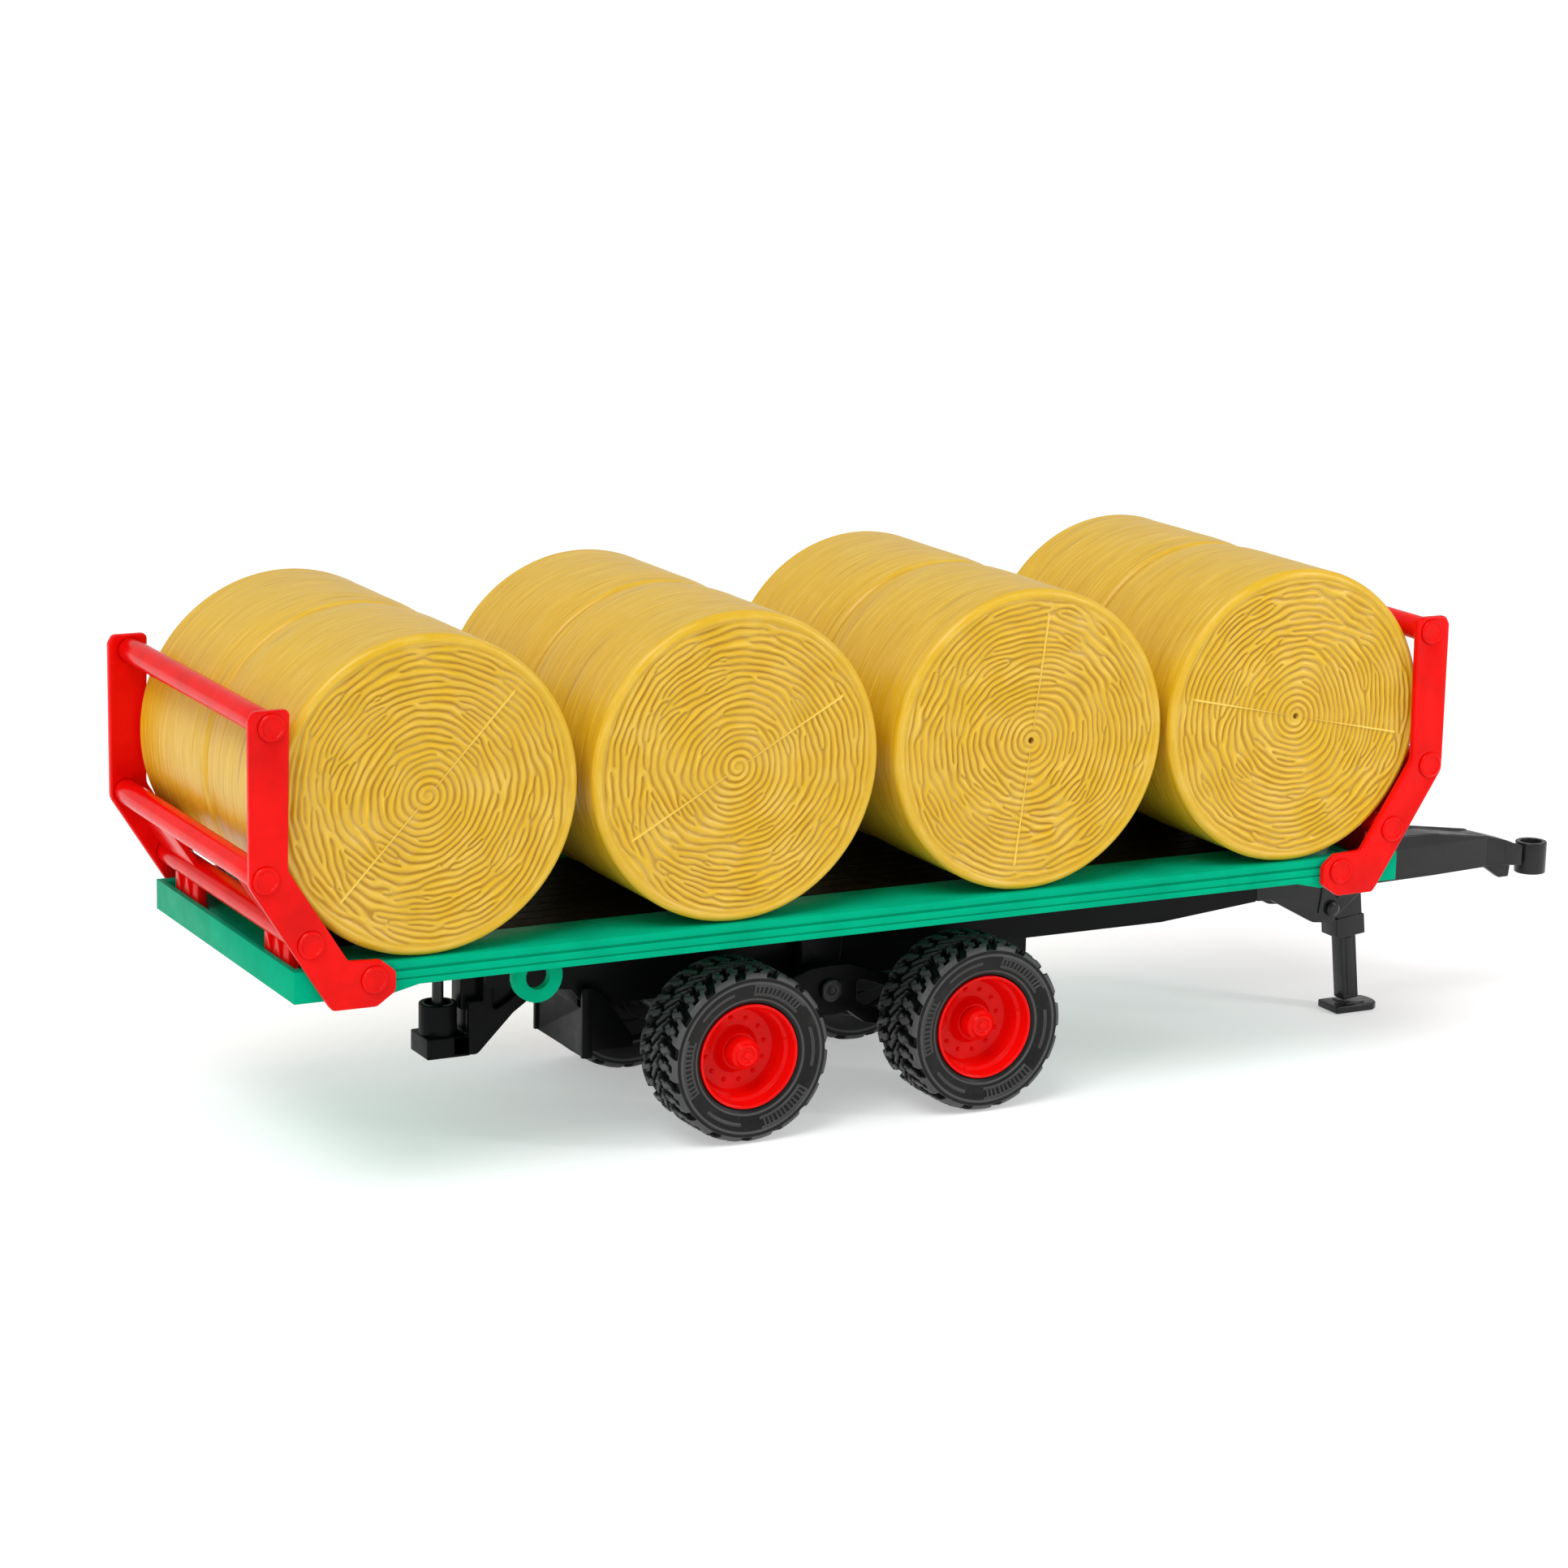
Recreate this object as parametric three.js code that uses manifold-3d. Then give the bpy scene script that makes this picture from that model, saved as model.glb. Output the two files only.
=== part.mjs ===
// Toy tandem-axle bale trailer, about 1:16, with eight round bales on a flat deck between two end gates.
// Millimetres, +Z up, +X towards the drawbar, +Y to the trailer's left. The ground is z = 0.
// Lengths along X are counted from the middle of the deck; the whole model is then shifted by ORIGIN_SHIFT_X
// so that the origin lies on the ground under the middle of the bounding box.
import * as THREE from "three";
import { mergeVertices } from "three/addons/utils/BufferGeometryUtils.js";
import Module from "manifold-3d";

const wasm = await Module();
wasm.setup();

// ---------------------------------------------------------------- driving dimensions
const GAP = 0.3; // clearance between touching pieces

const DECK_HALF_LENGTH = 255.6, DECK_HALF_WIDTH = 80, DECK_TOP = 95.6;
const DECK_MID_BOTTOM = 85.8, DECK_END_BOTTOM = 83.0, DECK_STEP_X = 204, DECK_STEP_RUN = 12;
const DECK_SKIRT = 3, DECK_SKIN_BOTTOM = 89.6, DECK_SEAT_BOTTOM = 82.9, DECK_SEAT_HALF_WIDTH = 22;
const DECK_RIB_X = 226;
const TROUGH_OUT = 253, TROUGH_IN = 236, TROUGH_HALF_WIDTH = 74, TROUGH_FLOOR = 91.8;
const PANEL_HALF_LENGTH = 228, PANEL_HALF_WIDTH = 50, PANEL_BOTTOM = 93.0;
const LUG_X = -146, LUG_Z = 78, LUG_R = 10.7, LUG_HOLE_R = 5.3, LUG_Y_IN = 59, LUG_Y_OUT = 63;

const BALE_R = 63.7, BALE_WIDTH = 78, BALE_WALL = 1.6, BALE_HOLE_R = 2.5, BALE_SEGMENTS = 24;
const BALE_X = [-199.5, -65.7, 69.8, 200.9], BALE_Y = 39.4, BALE_Z = 159.7;

const AXLE_X = 55.3, WHEEL_SEGMENTS = 24, TYRE_R = 36.8;
const WHEEL_Z = TYRE_R * Math.cos(Math.PI / WHEEL_SEGMENTS); // a flat of the tyre stands on the ground
const TYRE_OUT = 73.8, TYRE_IN = 41, TYRE_BORE = 22.4, RIM_R = 22.1, AXLE_R = 3, AXLE_HALF_LENGTH = 67;

const SPINE_HALF_WIDTH = 20, SPINE_WALL = 3, SPINE_TOP = 82.6, SPINE_REAR = -150, SPINE_FRONT = 223.7;
const PIVOT_Z = 50, PIVOT_R = 3, HANGER_IN = 20.3, HANGER_OUT = 28.3, BEAM_IN = 28.7, BEAM_OUT = 36.7;

const JACK_PIN_X = 264.9, JACK_PIN_Z = 54.7, JACK_TILT = THREE.MathUtils.degToRad(6);
const GATE_ARM_IN = 80.3, GATE_ARM_OUT = 84.2, GATE_BOSS_OUT = 85, GATE_BAR_R = 5.2, GATE_SOCKET_R = 5.5;
const GATE_PIN = [224, 90.5];
const GATE_BARS = { low: [250, 107], mid: [268, 134], top: [265.4, 193] };
const EYE_X = 390, EYE_R = 7.4, EYE_BORE_R = 5, EYE_BOTTOM = 55.2, EYE_TOP = 70;
const ORIGIN_SHIFT_X = -61.43; // from -274.5 (rear gate) to 397.4 (drawbar eye)

// ---------------------------------------------------------------- materials
const finish = (color, roughness, metalness = 0) => new THREE.MeshStandardMaterial({ color, roughness, metalness });
const GREEN = finish(0x0a9468, 0.38), RED = finish(0xf01a12, 0.3), STRAW = finish(0xd9b03c, 0.55);
const BLACK = finish(0x262728, 0.55), TYRE = finish(0x2a2c2c, 0.8), STEEL = finish(0x9a9da1, 0.35, 1);

// ---------------------------------------------------------------- shape helpers
// A closed geometry as a solid whose faces point outwards.
function solid(geometry) {
  const g = geometry.clone();
  for (const name of Object.keys(g.attributes)) if (name !== "position") g.deleteAttribute(name);
  const merged = mergeVertices(g, 1e-4), index = merged.index.array, keep = [];
  for (let i = 0; i < index.length; i += 3) {
    const [a, b, c] = [index[i], index[i + 1], index[i + 2]];
    if (a !== b && b !== c && c !== a) keep.push(a, b, c);
  }
  const make = (tri) => new wasm.Manifold(new wasm.Mesh({
    numProp: 3, vertProperties: new Float32Array(merged.attributes.position.array), triVerts: new Uint32Array(tri) }));
  const m = make(keep);
  if (m.volume() > 0) return m;
  for (let i = 0; i < keep.length; i += 3) [keep[i + 1], keep[i + 2]] = [keep[i + 2], keep[i + 1]];
  return make(keep);
}
const join = (...parts) => parts.reduce((a, b) => a.add(b));
const cut = (body, ...tools) => tools.reduce((a, b) => a.subtract(b), body);
function block(x0, x1, y0, y1, z0, z1) {
  return solid(new THREE.BoxGeometry(x1 - x0, y1 - y0, z1 - z0).translate((x0 + x1) / 2, (y0 + y1) / 2, (z0 + z1) / 2));
}
const shapeOf = (points) => new THREE.Shape(points.map(([a, b]) => new THREE.Vector2(a, b)));
const slab = (points, depth) => new THREE.ExtrudeGeometry(shapeOf(points), { depth, bevelEnabled: false, curveSegments: 1 });
// An outline in (x, z), from y0 to y1.
const prismXZ = (points, y0, y1) => solid(slab(points, y1 - y0).rotateX(Math.PI / 2).translate(0, y1, 0));
// An outline in (x, y), from z0 to z1.
const prismXY = (points, z0, z1) => solid(slab(points, z1 - z0).translate(0, 0, z0));
const ring = (a, b, r, n, phase = 0.5) => Array.from({ length: n }, (_, i) => {
  const t = ((i + phase) / n) * 2 * Math.PI;
  return [a + r * Math.cos(t), b + r * Math.sin(t)];
});
const rodY = (x, z, r, y0, y1, n = 16, phase = 0.5) => prismXZ(ring(x, z, r, n, phase), y0, y1);
const rodZ = (x, y, r, z0, z1, n = 16, phase = 0.5) => prismXY(ring(x, y, r, n, phase), z0, z1);
// A profile of (radius, y) turned about an axis along Y through (x, z).
function turned(profile, x, z, segments, phase = 0) {
  const g = new THREE.LatheGeometry(profile.map(([r, y]) => new THREE.Vector2(r, y)), segments, phase, 2 * Math.PI);
  return solid(g.translate(x, 0, z));
}
const mirrorY = (profile) => profile.map(([r, y]) => [r, -y]);
const closed = (profile) => [...profile, profile[0]];
const sideY = (side, a, b) => (side > 0 ? [a, b] : [-b, -a]);
const mirrorX = (points) => points.map(([x, z]) => [-x, z]);

const trailer = new THREE.Group();
function add(name, body, material, parent = trailer) {
  const m = body.getMesh();
  const g = new THREE.BufferGeometry()
    .setAttribute("position", new THREE.BufferAttribute(new Float32Array(m.vertProperties), 3))
    .setIndex(new THREE.BufferAttribute(new Uint32Array(m.triVerts), 1));
  const mesh = new THREE.Mesh(g.toNonIndexed(), material);
  mesh.geometry.computeVertexNormals();
  mesh.name = name;
  parent.add(mesh);
  return mesh;
}
const LEFT_RIGHT = [["left", 1], ["right", -1]];
const FRONT_REAR = [["front", 1], ["rear", -1]];

// ---------------------------------------------------------------- deck
{
  const L = DECK_HALF_LENGTH, W = DECK_HALF_WIDTH;
  let deck = prismXZ([
    [-L, DECK_END_BOTTOM], [-DECK_STEP_X - DECK_STEP_RUN, DECK_END_BOTTOM], [-DECK_STEP_X, DECK_MID_BOTTOM],
    [DECK_STEP_X, DECK_MID_BOTTOM], [DECK_STEP_X + DECK_STEP_RUN, DECK_END_BOTTOM], [L, DECK_END_BOTTOM],
    [L, DECK_TOP], [-L, DECK_TOP]], -W, W);
  // moulded grooves along both sides, between the feet of the gates
  for (const [, s] of LEFT_RIGHT) {
    deck = cut(deck,
      block(-DECK_RIB_X, DECK_RIB_X, ...sideY(s, W - 0.9, W + 1), 91.6, 92.8),
      block(-DECK_RIB_X, DECK_RIB_X, ...sideY(s, W - 0.6, W + 1), 88.2, 88.9));
  }
  // hollow underside between the skirts and the cross ribs
  for (const [x0, x1] of [[-200, -116], [-113.5, -1.3], [1.3, 113.5], [116, 200]])
    for (const [, s] of LEFT_RIGHT)
      deck = cut(deck, block(x0, x1, ...sideY(s, DECK_SEAT_HALF_WIDTH, W - DECK_SKIRT), 80, DECK_SKIN_BOTTOM));
  // seat for the chassis spine
  deck = join(deck, block(-DECK_STEP_X - 2, DECK_STEP_X + 2, -DECK_SEAT_HALF_WIDTH, DECK_SEAT_HALF_WIDTH, DECK_SEAT_BOTTOM, DECK_SKIN_BOTTOM + 0.5));
  // recess for the floor panel, and a trough behind each end rim with slots for the gate tabs
  deck = cut(deck, block(-PANEL_HALF_LENGTH, PANEL_HALF_LENGTH, -PANEL_HALF_WIDTH, PANEL_HALF_WIDTH, PANEL_BOTTOM, DECK_TOP + 1));
  for (const [, e] of FRONT_REAR) {
    const [x0, x1] = sideY(e, TROUGH_IN, TROUGH_OUT);
    deck = cut(deck, block(x0, x1, -TROUGH_HALF_WIDTH, TROUGH_HALF_WIDTH, TROUGH_FLOOR, DECK_TOP + 1));
    for (const [, s] of LEFT_RIGHT)
      deck = cut(deck, block(...sideY(e, 247.6, TROUGH_OUT), ...sideY(s, 37, 67), 80, TROUGH_FLOOR + 1));
  }
  // a lashing ring under each side
  for (const [, s] of LEFT_RIGHT) {
    const [y0, y1] = sideY(s, LUG_Y_IN, LUG_Y_OUT);
    deck = join(deck, block(LUG_X - 14, LUG_X + 14, y0, y1, DECK_MID_BOTTOM, DECK_SKIN_BOTTOM + 0.5), rodY(LUG_X, LUG_Z, LUG_R, y0, y1, 24));
    deck = cut(deck, rodY(LUG_X, LUG_Z, LUG_HOLE_R, y0 - 1, y1 + 1, 20));
  }
  // blind screw holes from below
  for (const x of [-95, 95]) deck = cut(deck, rodZ(x, 0, 1.8, 80, 90, 12));
  add("deck_platform", deck, GREEN);
  add("deck_floor_panel", block(-PANEL_HALF_LENGTH + GAP, PANEL_HALF_LENGTH - GAP, -PANEL_HALF_WIDTH + GAP, PANEL_HALF_WIDTH - GAP, PANEL_BOTTOM + GAP, DECK_TOP), BLACK);
}

// ---------------------------------------------------------------- chassis
{
  const W = SPINE_HALF_WIDTH;
  let spine = prismXZ([
    [SPINE_REAR, SPINE_TOP], [SPINE_REAR, 63], [-112, 58], [-105, 50], [105, 50], [105, 57.4], [174, 57.4],
    [SPINE_FRONT, 61.8], [SPINE_FRONT, SPINE_TOP]], -W, W);
  spine = cut(spine, block(SPINE_REAR - 1, SPINE_FRONT + 1, -W + SPINE_WALL, W - SPINE_WALL, 40, SPINE_TOP - SPINE_WALL));
  // cross webs inside the channel
  for (const x of [-72, 72]) spine = join(spine, block(x - 1.2, x + 1.2, -W + 1, W - 1, 56, SPINE_TOP - 1));
  for (const x of [-95, 95]) spine = cut(spine, rodZ(x, 0, 1.8, 70, 90, 12));
  add("chassis_spine", spine, BLACK);
  for (const [name, x] of [["rear", -95], ["front", 95]])
    add("deck_screw_" + name, join(rodZ(x, 0, 1.5, 78, 89.6, 12), rodZ(x, 0, 3.4, 77.2, 79.3, 16)), STEEL);

  // drawbar: a beam open underneath, tapering to the neck
  let bar = prismXZ([
    [150, 70], [290, 61.2], [298, 60.5], [328, 61.2], [358, 62.4], [358, 77], [326, 81.4], [290.4, 81.6], [290.4, 79.2],
    [150, 79.2]], -9, 9);
  bar = join(bar, prismXZ([[357, 62.5], [384.3, 59.5], [384.3, 68.2], [380, 70], [357, 77.2]], -5, 5));
  bar = join(bar, prismXZ([[357, 63.5], [371, 54.5], [376.5, 54.5], [378, 63.5]], -2, 2), block(326.6, 329.4, -1.4, 1.4, 59.9, 62.5));
  bar = cut(bar, prismXZ([[160, 60], [340, 52], [340, 72], [325, 77], [160, 77]], -6.2, -1.2), prismXZ([[160, 60], [340, 52], [340, 72], [325, 77], [160, 77]], 1.2, 6.2));
  // towing eye, with its shank let into the front of the drawbar
  let eye = rodZ(EYE_X, 0, EYE_R, EYE_BOTTOM, EYE_TOP, 28);
  eye = cut(eye, rodZ(EYE_X, 0, EYE_BORE_R, 50, 75, 24));
  const shank = block(384.6 - 12, 384.6, -2.6, 2.6, 63.2, 66.6);
  eye = join(eye, cut(shank, rodZ(EYE_X, 0, EYE_BORE_R, 50, 75, 24)));
  const pocket = block(372.3, 400, -2.9, 2.9, 62.9, 66.9), nose = rodZ(EYE_X, 0, EYE_R + GAP, 50, 75, 28);
  add("drawbar", cut(bar, pocket, nose), BLACK);
  add("drawbar_eye", eye, BLACK);

  // jack bracket: two cheeks under the front of the deck, joined over the drawbar's shank
  const cheek = [[224, 61.8], [232.2, 61.4], [255.2, 48.9], [264.5, 47.9], [268.5, 50.6], [279.7, 60.0], [289, 68.5], [289, 82.6], [224, 82.6]];
  let bracket = join(prismXZ(cheek, 16, 20), prismXZ(cheek, -20, -16), block(224, 262, -18, 18, 79.6, 82.6), block(280, 289, -18, -9.6, 66, 82.6), block(280, 289, 9.6, 18, 66, 82.6));
  bracket = cut(bracket, rodY(JACK_PIN_X, JACK_PIN_Z, 2.8, -30, 30, 16));
  for (const [, s] of LEFT_RIGHT) bracket = join(bracket, prismXZ([[257.2, 53], [259.4, 53], [261.4, 62], [261.4, 80], [258.6, 80], [258.6, 62]], ...sideY(s, 19.9, 20.8)));
  add("jack_bracket", bracket, BLACK);
  add("jack_pivot_pin", join(rodY(JACK_PIN_X, JACK_PIN_Z, 2.4, -21, 21, 16), rodY(JACK_PIN_X, JACK_PIN_Z, 3.5, -22.4, -20.4, 20), rodY(JACK_PIN_X, JACK_PIN_Z, 3.5, 20.4, 22.4, 20)), BLACK);

  // jack, leaning a little forwards about its pivot pin
  const lean = new THREE.Matrix4().makeTranslation(JACK_PIN_X, 0, JACK_PIN_Z)
    .multiply(new THREE.Matrix4().makeRotationY(-JACK_TILT))
    .multiply(new THREE.Matrix4().makeTranslation(-JACK_PIN_X, 0, -JACK_PIN_Z));
  const leaned = (m) => m.transform(Array.from(lean.elements));
  let housing = join(
    block(277.2, 290.6, -6, 6, 36.5, 57), block(276.4, 291.4, -6.7, 6.7, 34.2, 43.6),
    prismXZ([[260.6, 52], [264, 50], [278, 45], [278, 57], [266, 59], [262.4, 58.6], [260.6, 57]], -6, 6));
  housing = cut(housing, block(279.4, 288.6, -4.4, 4.4, 30, 55), rodY(JACK_PIN_X, JACK_PIN_Z, 2.8, -10, 10, 16));
  add("jack_housing", leaned(housing), BLACK);
  const leg = cut(leaned(block(279.8, 288.2, -4, 4, 2, 40)), block(260, 320, -20, 20, -10, 3));
  const foot = prismXY([[279, -8], [299, -8], [302, -6], [303.2, -2], [303.2, 2], [302, 6], [299, 8], [279, 8]], 0, 4);
  add("jack_leg", join(leg, foot), BLACK);
}

// ---------------------------------------------------------------- rear hitch and guard plate
{
  let bracket = prismXZ([
    [-171.2, 32.5], [-169.7, 31], [-149, 31.5], [-133, 47.6], [-112, 62], [-112, 79.3], [-146.4, 79.3], [-146.4, 54.5],
    [-153, 54.5], [-153, 40.2], [-171.2, 40.2]], -9.3, 9.3);
  bracket = join(bracket, rodZ(-162.9, 0, 7.9, 36, 53.2, 24), block(-154.8, -146, -5, 5, 50, 79.3));
  bracket = cut(bracket, rodZ(-162.9, 0, 5.6, 40.2, 60, 20), rodZ(-162.9, 0, 2.9, 20, 60, 16),
    prismXZ([[-143, 48], [-136, 51.5], [-117, 64.5], [-117, 76], [-143, 76]], 3.5, 12),
    prismXZ([[-143, 48], [-136, 51.5], [-117, 64.5], [-117, 76], [-143, 76]], -12, -3.5));
  add("rear_hitch_bracket", bracket, BLACK);
  add("rear_hitch_pin", join(rodZ(-162.9, 0, 2.4, 32, 67, 16), rodZ(-162.9, 0, 4.2, 66, 69, 16), rodZ(-162.9, 0, 4.8, 40.6, 43, 16)), BLACK);

  let guard = join(
    block(-107.6, -104.4, -25, 25, 29, 58.8), block(-107.6, -104.4, -16.6, 16.6, 57, 79.2));
  for (const [, s] of LEFT_RIGHT)
    guard = join(guard, prismXZ([[-105, 58.8], [-105, 32], [-86, 32], [-86, 36.5], [-99, 55]], ...sideY(s, 22, 25)),
      prismXZ([[-106, 29.2], [-106, 58.8], [-108.8, 58.8], [-108.8, 29.2]], ...sideY(s, 23, 25)));
  guard = join(guard, prismXZ([[-105, 58], [-105, 32], [-88, 32], [-88, 35]], -1.5, 1.5));
  // slots for the side walls of the spine
  for (const [, s] of LEFT_RIGHT) guard = cut(guard, block(-112, -80, ...sideY(s, SPINE_HALF_WIDTH - SPINE_WALL - GAP, SPINE_HALF_WIDTH + GAP), 49.6, 80));
  add("rear_guard_plate", guard, BLACK);
}

// ---------------------------------------------------------------- rocking tandem bogie
{
  for (const [name, s] of LEFT_RIGHT) {
    let hanger = prismXZ([[-11, 79], [11, 79], [7.5, 46], [4.5, 43.4], [-4.5, 43.4], [-7.5, 46]], ...sideY(s, HANGER_IN, HANGER_OUT));
    hanger = cut(hanger, rodY(0, PIVOT_Z, PIVOT_R + GAP, -40, 40, 16));
    add("bogie_hanger_" + name, hanger, BLACK);
    add("bogie_pivot_pin_" + name, join(rodY(0, PIVOT_Z, PIVOT_R, ...sideY(s, 20.5, 38), 16), rodY(0, PIVOT_Z, 5, ...sideY(s, 37, 39), 16)), BLACK);
  }
  const half = [[0, 60.5], [9, 60], [17, 57.2], [30, 52], [44, 48]];
  const boss = ring(AXLE_X, WHEEL_Z, 10, 16).filter(([x, z]) => x > 47.5).sort((p, q) => Math.atan2(q[1] - WHEEL_Z, q[0] - AXLE_X) - Math.atan2(p[1] - WHEEL_Z, p[0] - AXLE_X));
  const under = [[46, 29.6], [30, 31], [17, 33.6], [9, 39.6], [4, 38.6]];
  const outlineRight = [...half, ...boss, ...under];
  const outline = [...outlineRight, ...mirrorX(outlineRight).slice(1).reverse()];
  const window_ = [[13, 53.2], [21, 50.8], [42, 42.4], [42, 36], [21, 38.2], [13, 44]];
  let frame = null;
  for (const [, s] of LEFT_RIGHT) {
    const y = sideY(s, BEAM_IN, BEAM_OUT);
    const beam = cut(prismXZ(outline, ...y), prismXZ(window_, y[0] - 1, y[1] + 1), prismXZ(mirrorX(window_), y[0] - 1, y[1] + 1));
    frame = frame ? join(frame, beam) : beam;
  }
  frame = join(frame, block(-9, 9, -BEAM_IN - 1, BEAM_IN + 1, 38.6, 42), block(-1.5, 1.5, -BEAM_IN - 1, BEAM_IN + 1, 34.5, 39));
  frame = cut(frame, rodY(0, PIVOT_Z, PIVOT_R + GAP, -50, 50, 16),
    rodY(AXLE_X, WHEEL_Z, AXLE_R + GAP, -50, 50, 16), rodY(-AXLE_X, WHEEL_Z, AXLE_R + GAP, -50, 50, 16));
  add("bogie_frame", frame, BLACK);
  for (const [name, e] of FRONT_REAR)
    add("axle_" + name, join(rodY(e * AXLE_X, WHEEL_Z, AXLE_R, -AXLE_HALF_LENGTH, AXLE_HALF_LENGTH, 16)), STEEL);
}

// ---------------------------------------------------------------- wheels
{
  const tyre = closed([
    [TYRE_BORE, 44.5], [27, 41.8], [33, TYRE_IN], [35.8, 42.6], [TYRE_R, 46.5], [TYRE_R, 68], [35.8, 71.8], [33, TYRE_OUT],
    [27, 73.2], [TYRE_BORE, 71.2]]);
  const rim = closed([
    [3.3, 47], [8, 47], [8, 54], [19.4, 55], [19.8, 44.3], [RIM_R, 44.3], [RIM_R, 71.9], [20.6, 71.9], [19.4, 58.5], [8.2, 57.5],
    [8.2, 63], [3.3, 63]]);
  const cap = [[0, 70.4], [3.2, 70.4], [3.2, 69.4], [6.6, 68.6], [7.2, 63.3], [3.6, 63.3], [3.6, 67.3], [0, 67.3]];
  // a drum in the inboard side of the rim, with a dust shield over the rim's inner edge
  const drum = closed([[8.4, 42.7], [20.6, 42.7], [21.9, 43.3], [21.9, 44], [18.9, 44], [18.9, 53.4], [8.4, 53.4]]);
  const phase = Math.PI / WHEEL_SEGMENTS;
  for (const [end, e] of FRONT_REAR)
    for (const [name, s] of LEFT_RIGHT) {
      const p = (profile) => (s > 0 ? profile : mirrorY(profile));
      const at = [e * AXLE_X, WHEEL_Z, WHEEL_SEGMENTS, phase];
      add(`tyre_${end}_${name}`, turned(p(tyre), ...at), TYRE);
      add(`rim_${end}_${name}`, turned(p(rim), ...at), RED);
      add(`brake_drum_${end}_${name}`, turned(p(drum), ...at), BLACK);
      add(`hub_cap_${end}_${name}`, turned(p(cap), e * AXLE_X, WHEEL_Z, 16, 0), RED);
    }
}

// ---------------------------------------------------------------- end gates
for (const [end, e] of FRONT_REAR) {
  const X = (points) => (e > 0 ? points : mirrorX(points));
  const arm2d = [
    [258, 199.5], [272.5, 199.5], [274.5, 196], [274.5, 131.5], [243, 82], [241, 79.6], [223, 79.5], [215, 85], [215, 93], [221, 98],
    [234.5, 98.7], [259, 137]];
  for (const [name, s] of LEFT_RIGHT) {
    let arm = prismXZ(X(arm2d), ...sideY(s, GATE_ARM_IN, GATE_ARM_OUT));
    arm = join(arm, rodY(e * GATE_PIN[0], GATE_PIN[1], 5, ...sideY(s, GATE_ARM_OUT - 0.5, GATE_BOSS_OUT), 20));
    // web between the two lower bars
    const [lx, lz] = GATE_BARS.low, [mx, mz] = GATE_BARS.mid;
    const d = Math.hypot(mx - lx, mz - lz), nx = (mz - lz) / d, nz = -(mx - lx) / d;
    arm = join(arm, prismXZ(X([[lx - 1.3 * nx, lz - 1.3 * nz], [mx - 1.3 * nx, mz - 1.3 * nz], [mx + 1.3 * nx, mz + 1.3 * nz], [lx + 1.3 * nx, lz + 1.3 * nz]]), ...sideY(s, 37, GATE_ARM_IN + 1)));
    for (const [x, z] of Object.values(GATE_BARS)) arm = cut(arm, rodY(e * x, z, GATE_SOCKET_R, ...sideY(s, 30, 90), 20));
    add(`gate_${end}_arm_${name}`, arm, RED);
  }
  for (const [level, [x, z]] of Object.entries(GATE_BARS)) {
    let bar = rodY(e * x, z, GATE_BAR_R, -GATE_BOSS_OUT, GATE_BOSS_OUT, 20);
    if (level === "low")
      for (const [, s] of LEFT_RIGHT)
        bar = join(bar, prismXZ(X([[248.2, 104], [248.2, 88.6], [251.4, 88.6], [252.4, 94], [252.4, 104]]), ...sideY(s, 38.5, 65.5)));
    add(`gate_${end}_bar_${level}`, bar, RED);
  }
}

// ---------------------------------------------------------------- bales
{
  const h = BALE_WIDTH / 2, r = BALE_R, w = BALE_WALL;
  // a blown shell, closed at one face and vented through a small hole in the middle of the other;
  // the two rear pairs stand with that hole inboard
  const shell = closed([
    [BALE_HOLE_R, -h], [r - 4.2, -h], [r - 1.1, -h + 1.4], [r, -h + 4.5], [r, h - 4.5], [r - 1.1, h - 1.4], [r - 4.2, h], [0, h],
    [0, h - w], [r - 2.2, h - w], [r - 2.2, -h + w], [BALE_HOLE_R, -h + w]]);
  BALE_X.forEach((x, i) => {
    for (const [name, s] of LEFT_RIGHT) {
      const holeSide = i < 2 ? -s : s;
      const profile = (holeSide > 0 ? mirrorY(shell) : shell).map(([a, y]) => [a, y + s * BALE_Y]);
      add(`bale_${i + 1}_${name}`, turned(profile, x, BALE_Z, BALE_SEGMENTS), STRAW);
    }
  });
}

trailer.position.x = ORIGIN_SHIFT_X;
const model = new THREE.Group();
model.add(trailer);
export default model;
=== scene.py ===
import math

import bmesh
import bpy
import numpy as np
from mathutils import Matrix, Vector
from mathutils.geometry import tessellate_polygon


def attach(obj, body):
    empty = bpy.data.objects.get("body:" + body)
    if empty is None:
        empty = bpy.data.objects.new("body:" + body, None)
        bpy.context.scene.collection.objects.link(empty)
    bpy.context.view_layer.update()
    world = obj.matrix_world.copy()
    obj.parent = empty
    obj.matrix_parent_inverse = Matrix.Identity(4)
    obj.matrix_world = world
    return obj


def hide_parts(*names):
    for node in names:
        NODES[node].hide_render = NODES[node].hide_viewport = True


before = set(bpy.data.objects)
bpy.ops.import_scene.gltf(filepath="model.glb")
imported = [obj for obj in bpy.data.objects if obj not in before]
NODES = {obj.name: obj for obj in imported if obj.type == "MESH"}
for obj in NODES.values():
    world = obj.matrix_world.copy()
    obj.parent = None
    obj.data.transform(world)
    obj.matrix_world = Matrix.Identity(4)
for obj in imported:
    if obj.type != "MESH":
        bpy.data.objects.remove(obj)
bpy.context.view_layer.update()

# Lengths below are in millimetres, X counted from the middle of the deck, as in the CAD source.
MM = 0.001
SHIFT = -61.43
WHEEL_Z = 36.8 * math.cos(math.pi / 24)
AXLE_X = 55.3
BALE_X = (-199.5, -65.7, 69.8, 200.9)
BALE_Y, BALE_Z, BALE_R = 39.4, 159.7, 63.7


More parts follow.
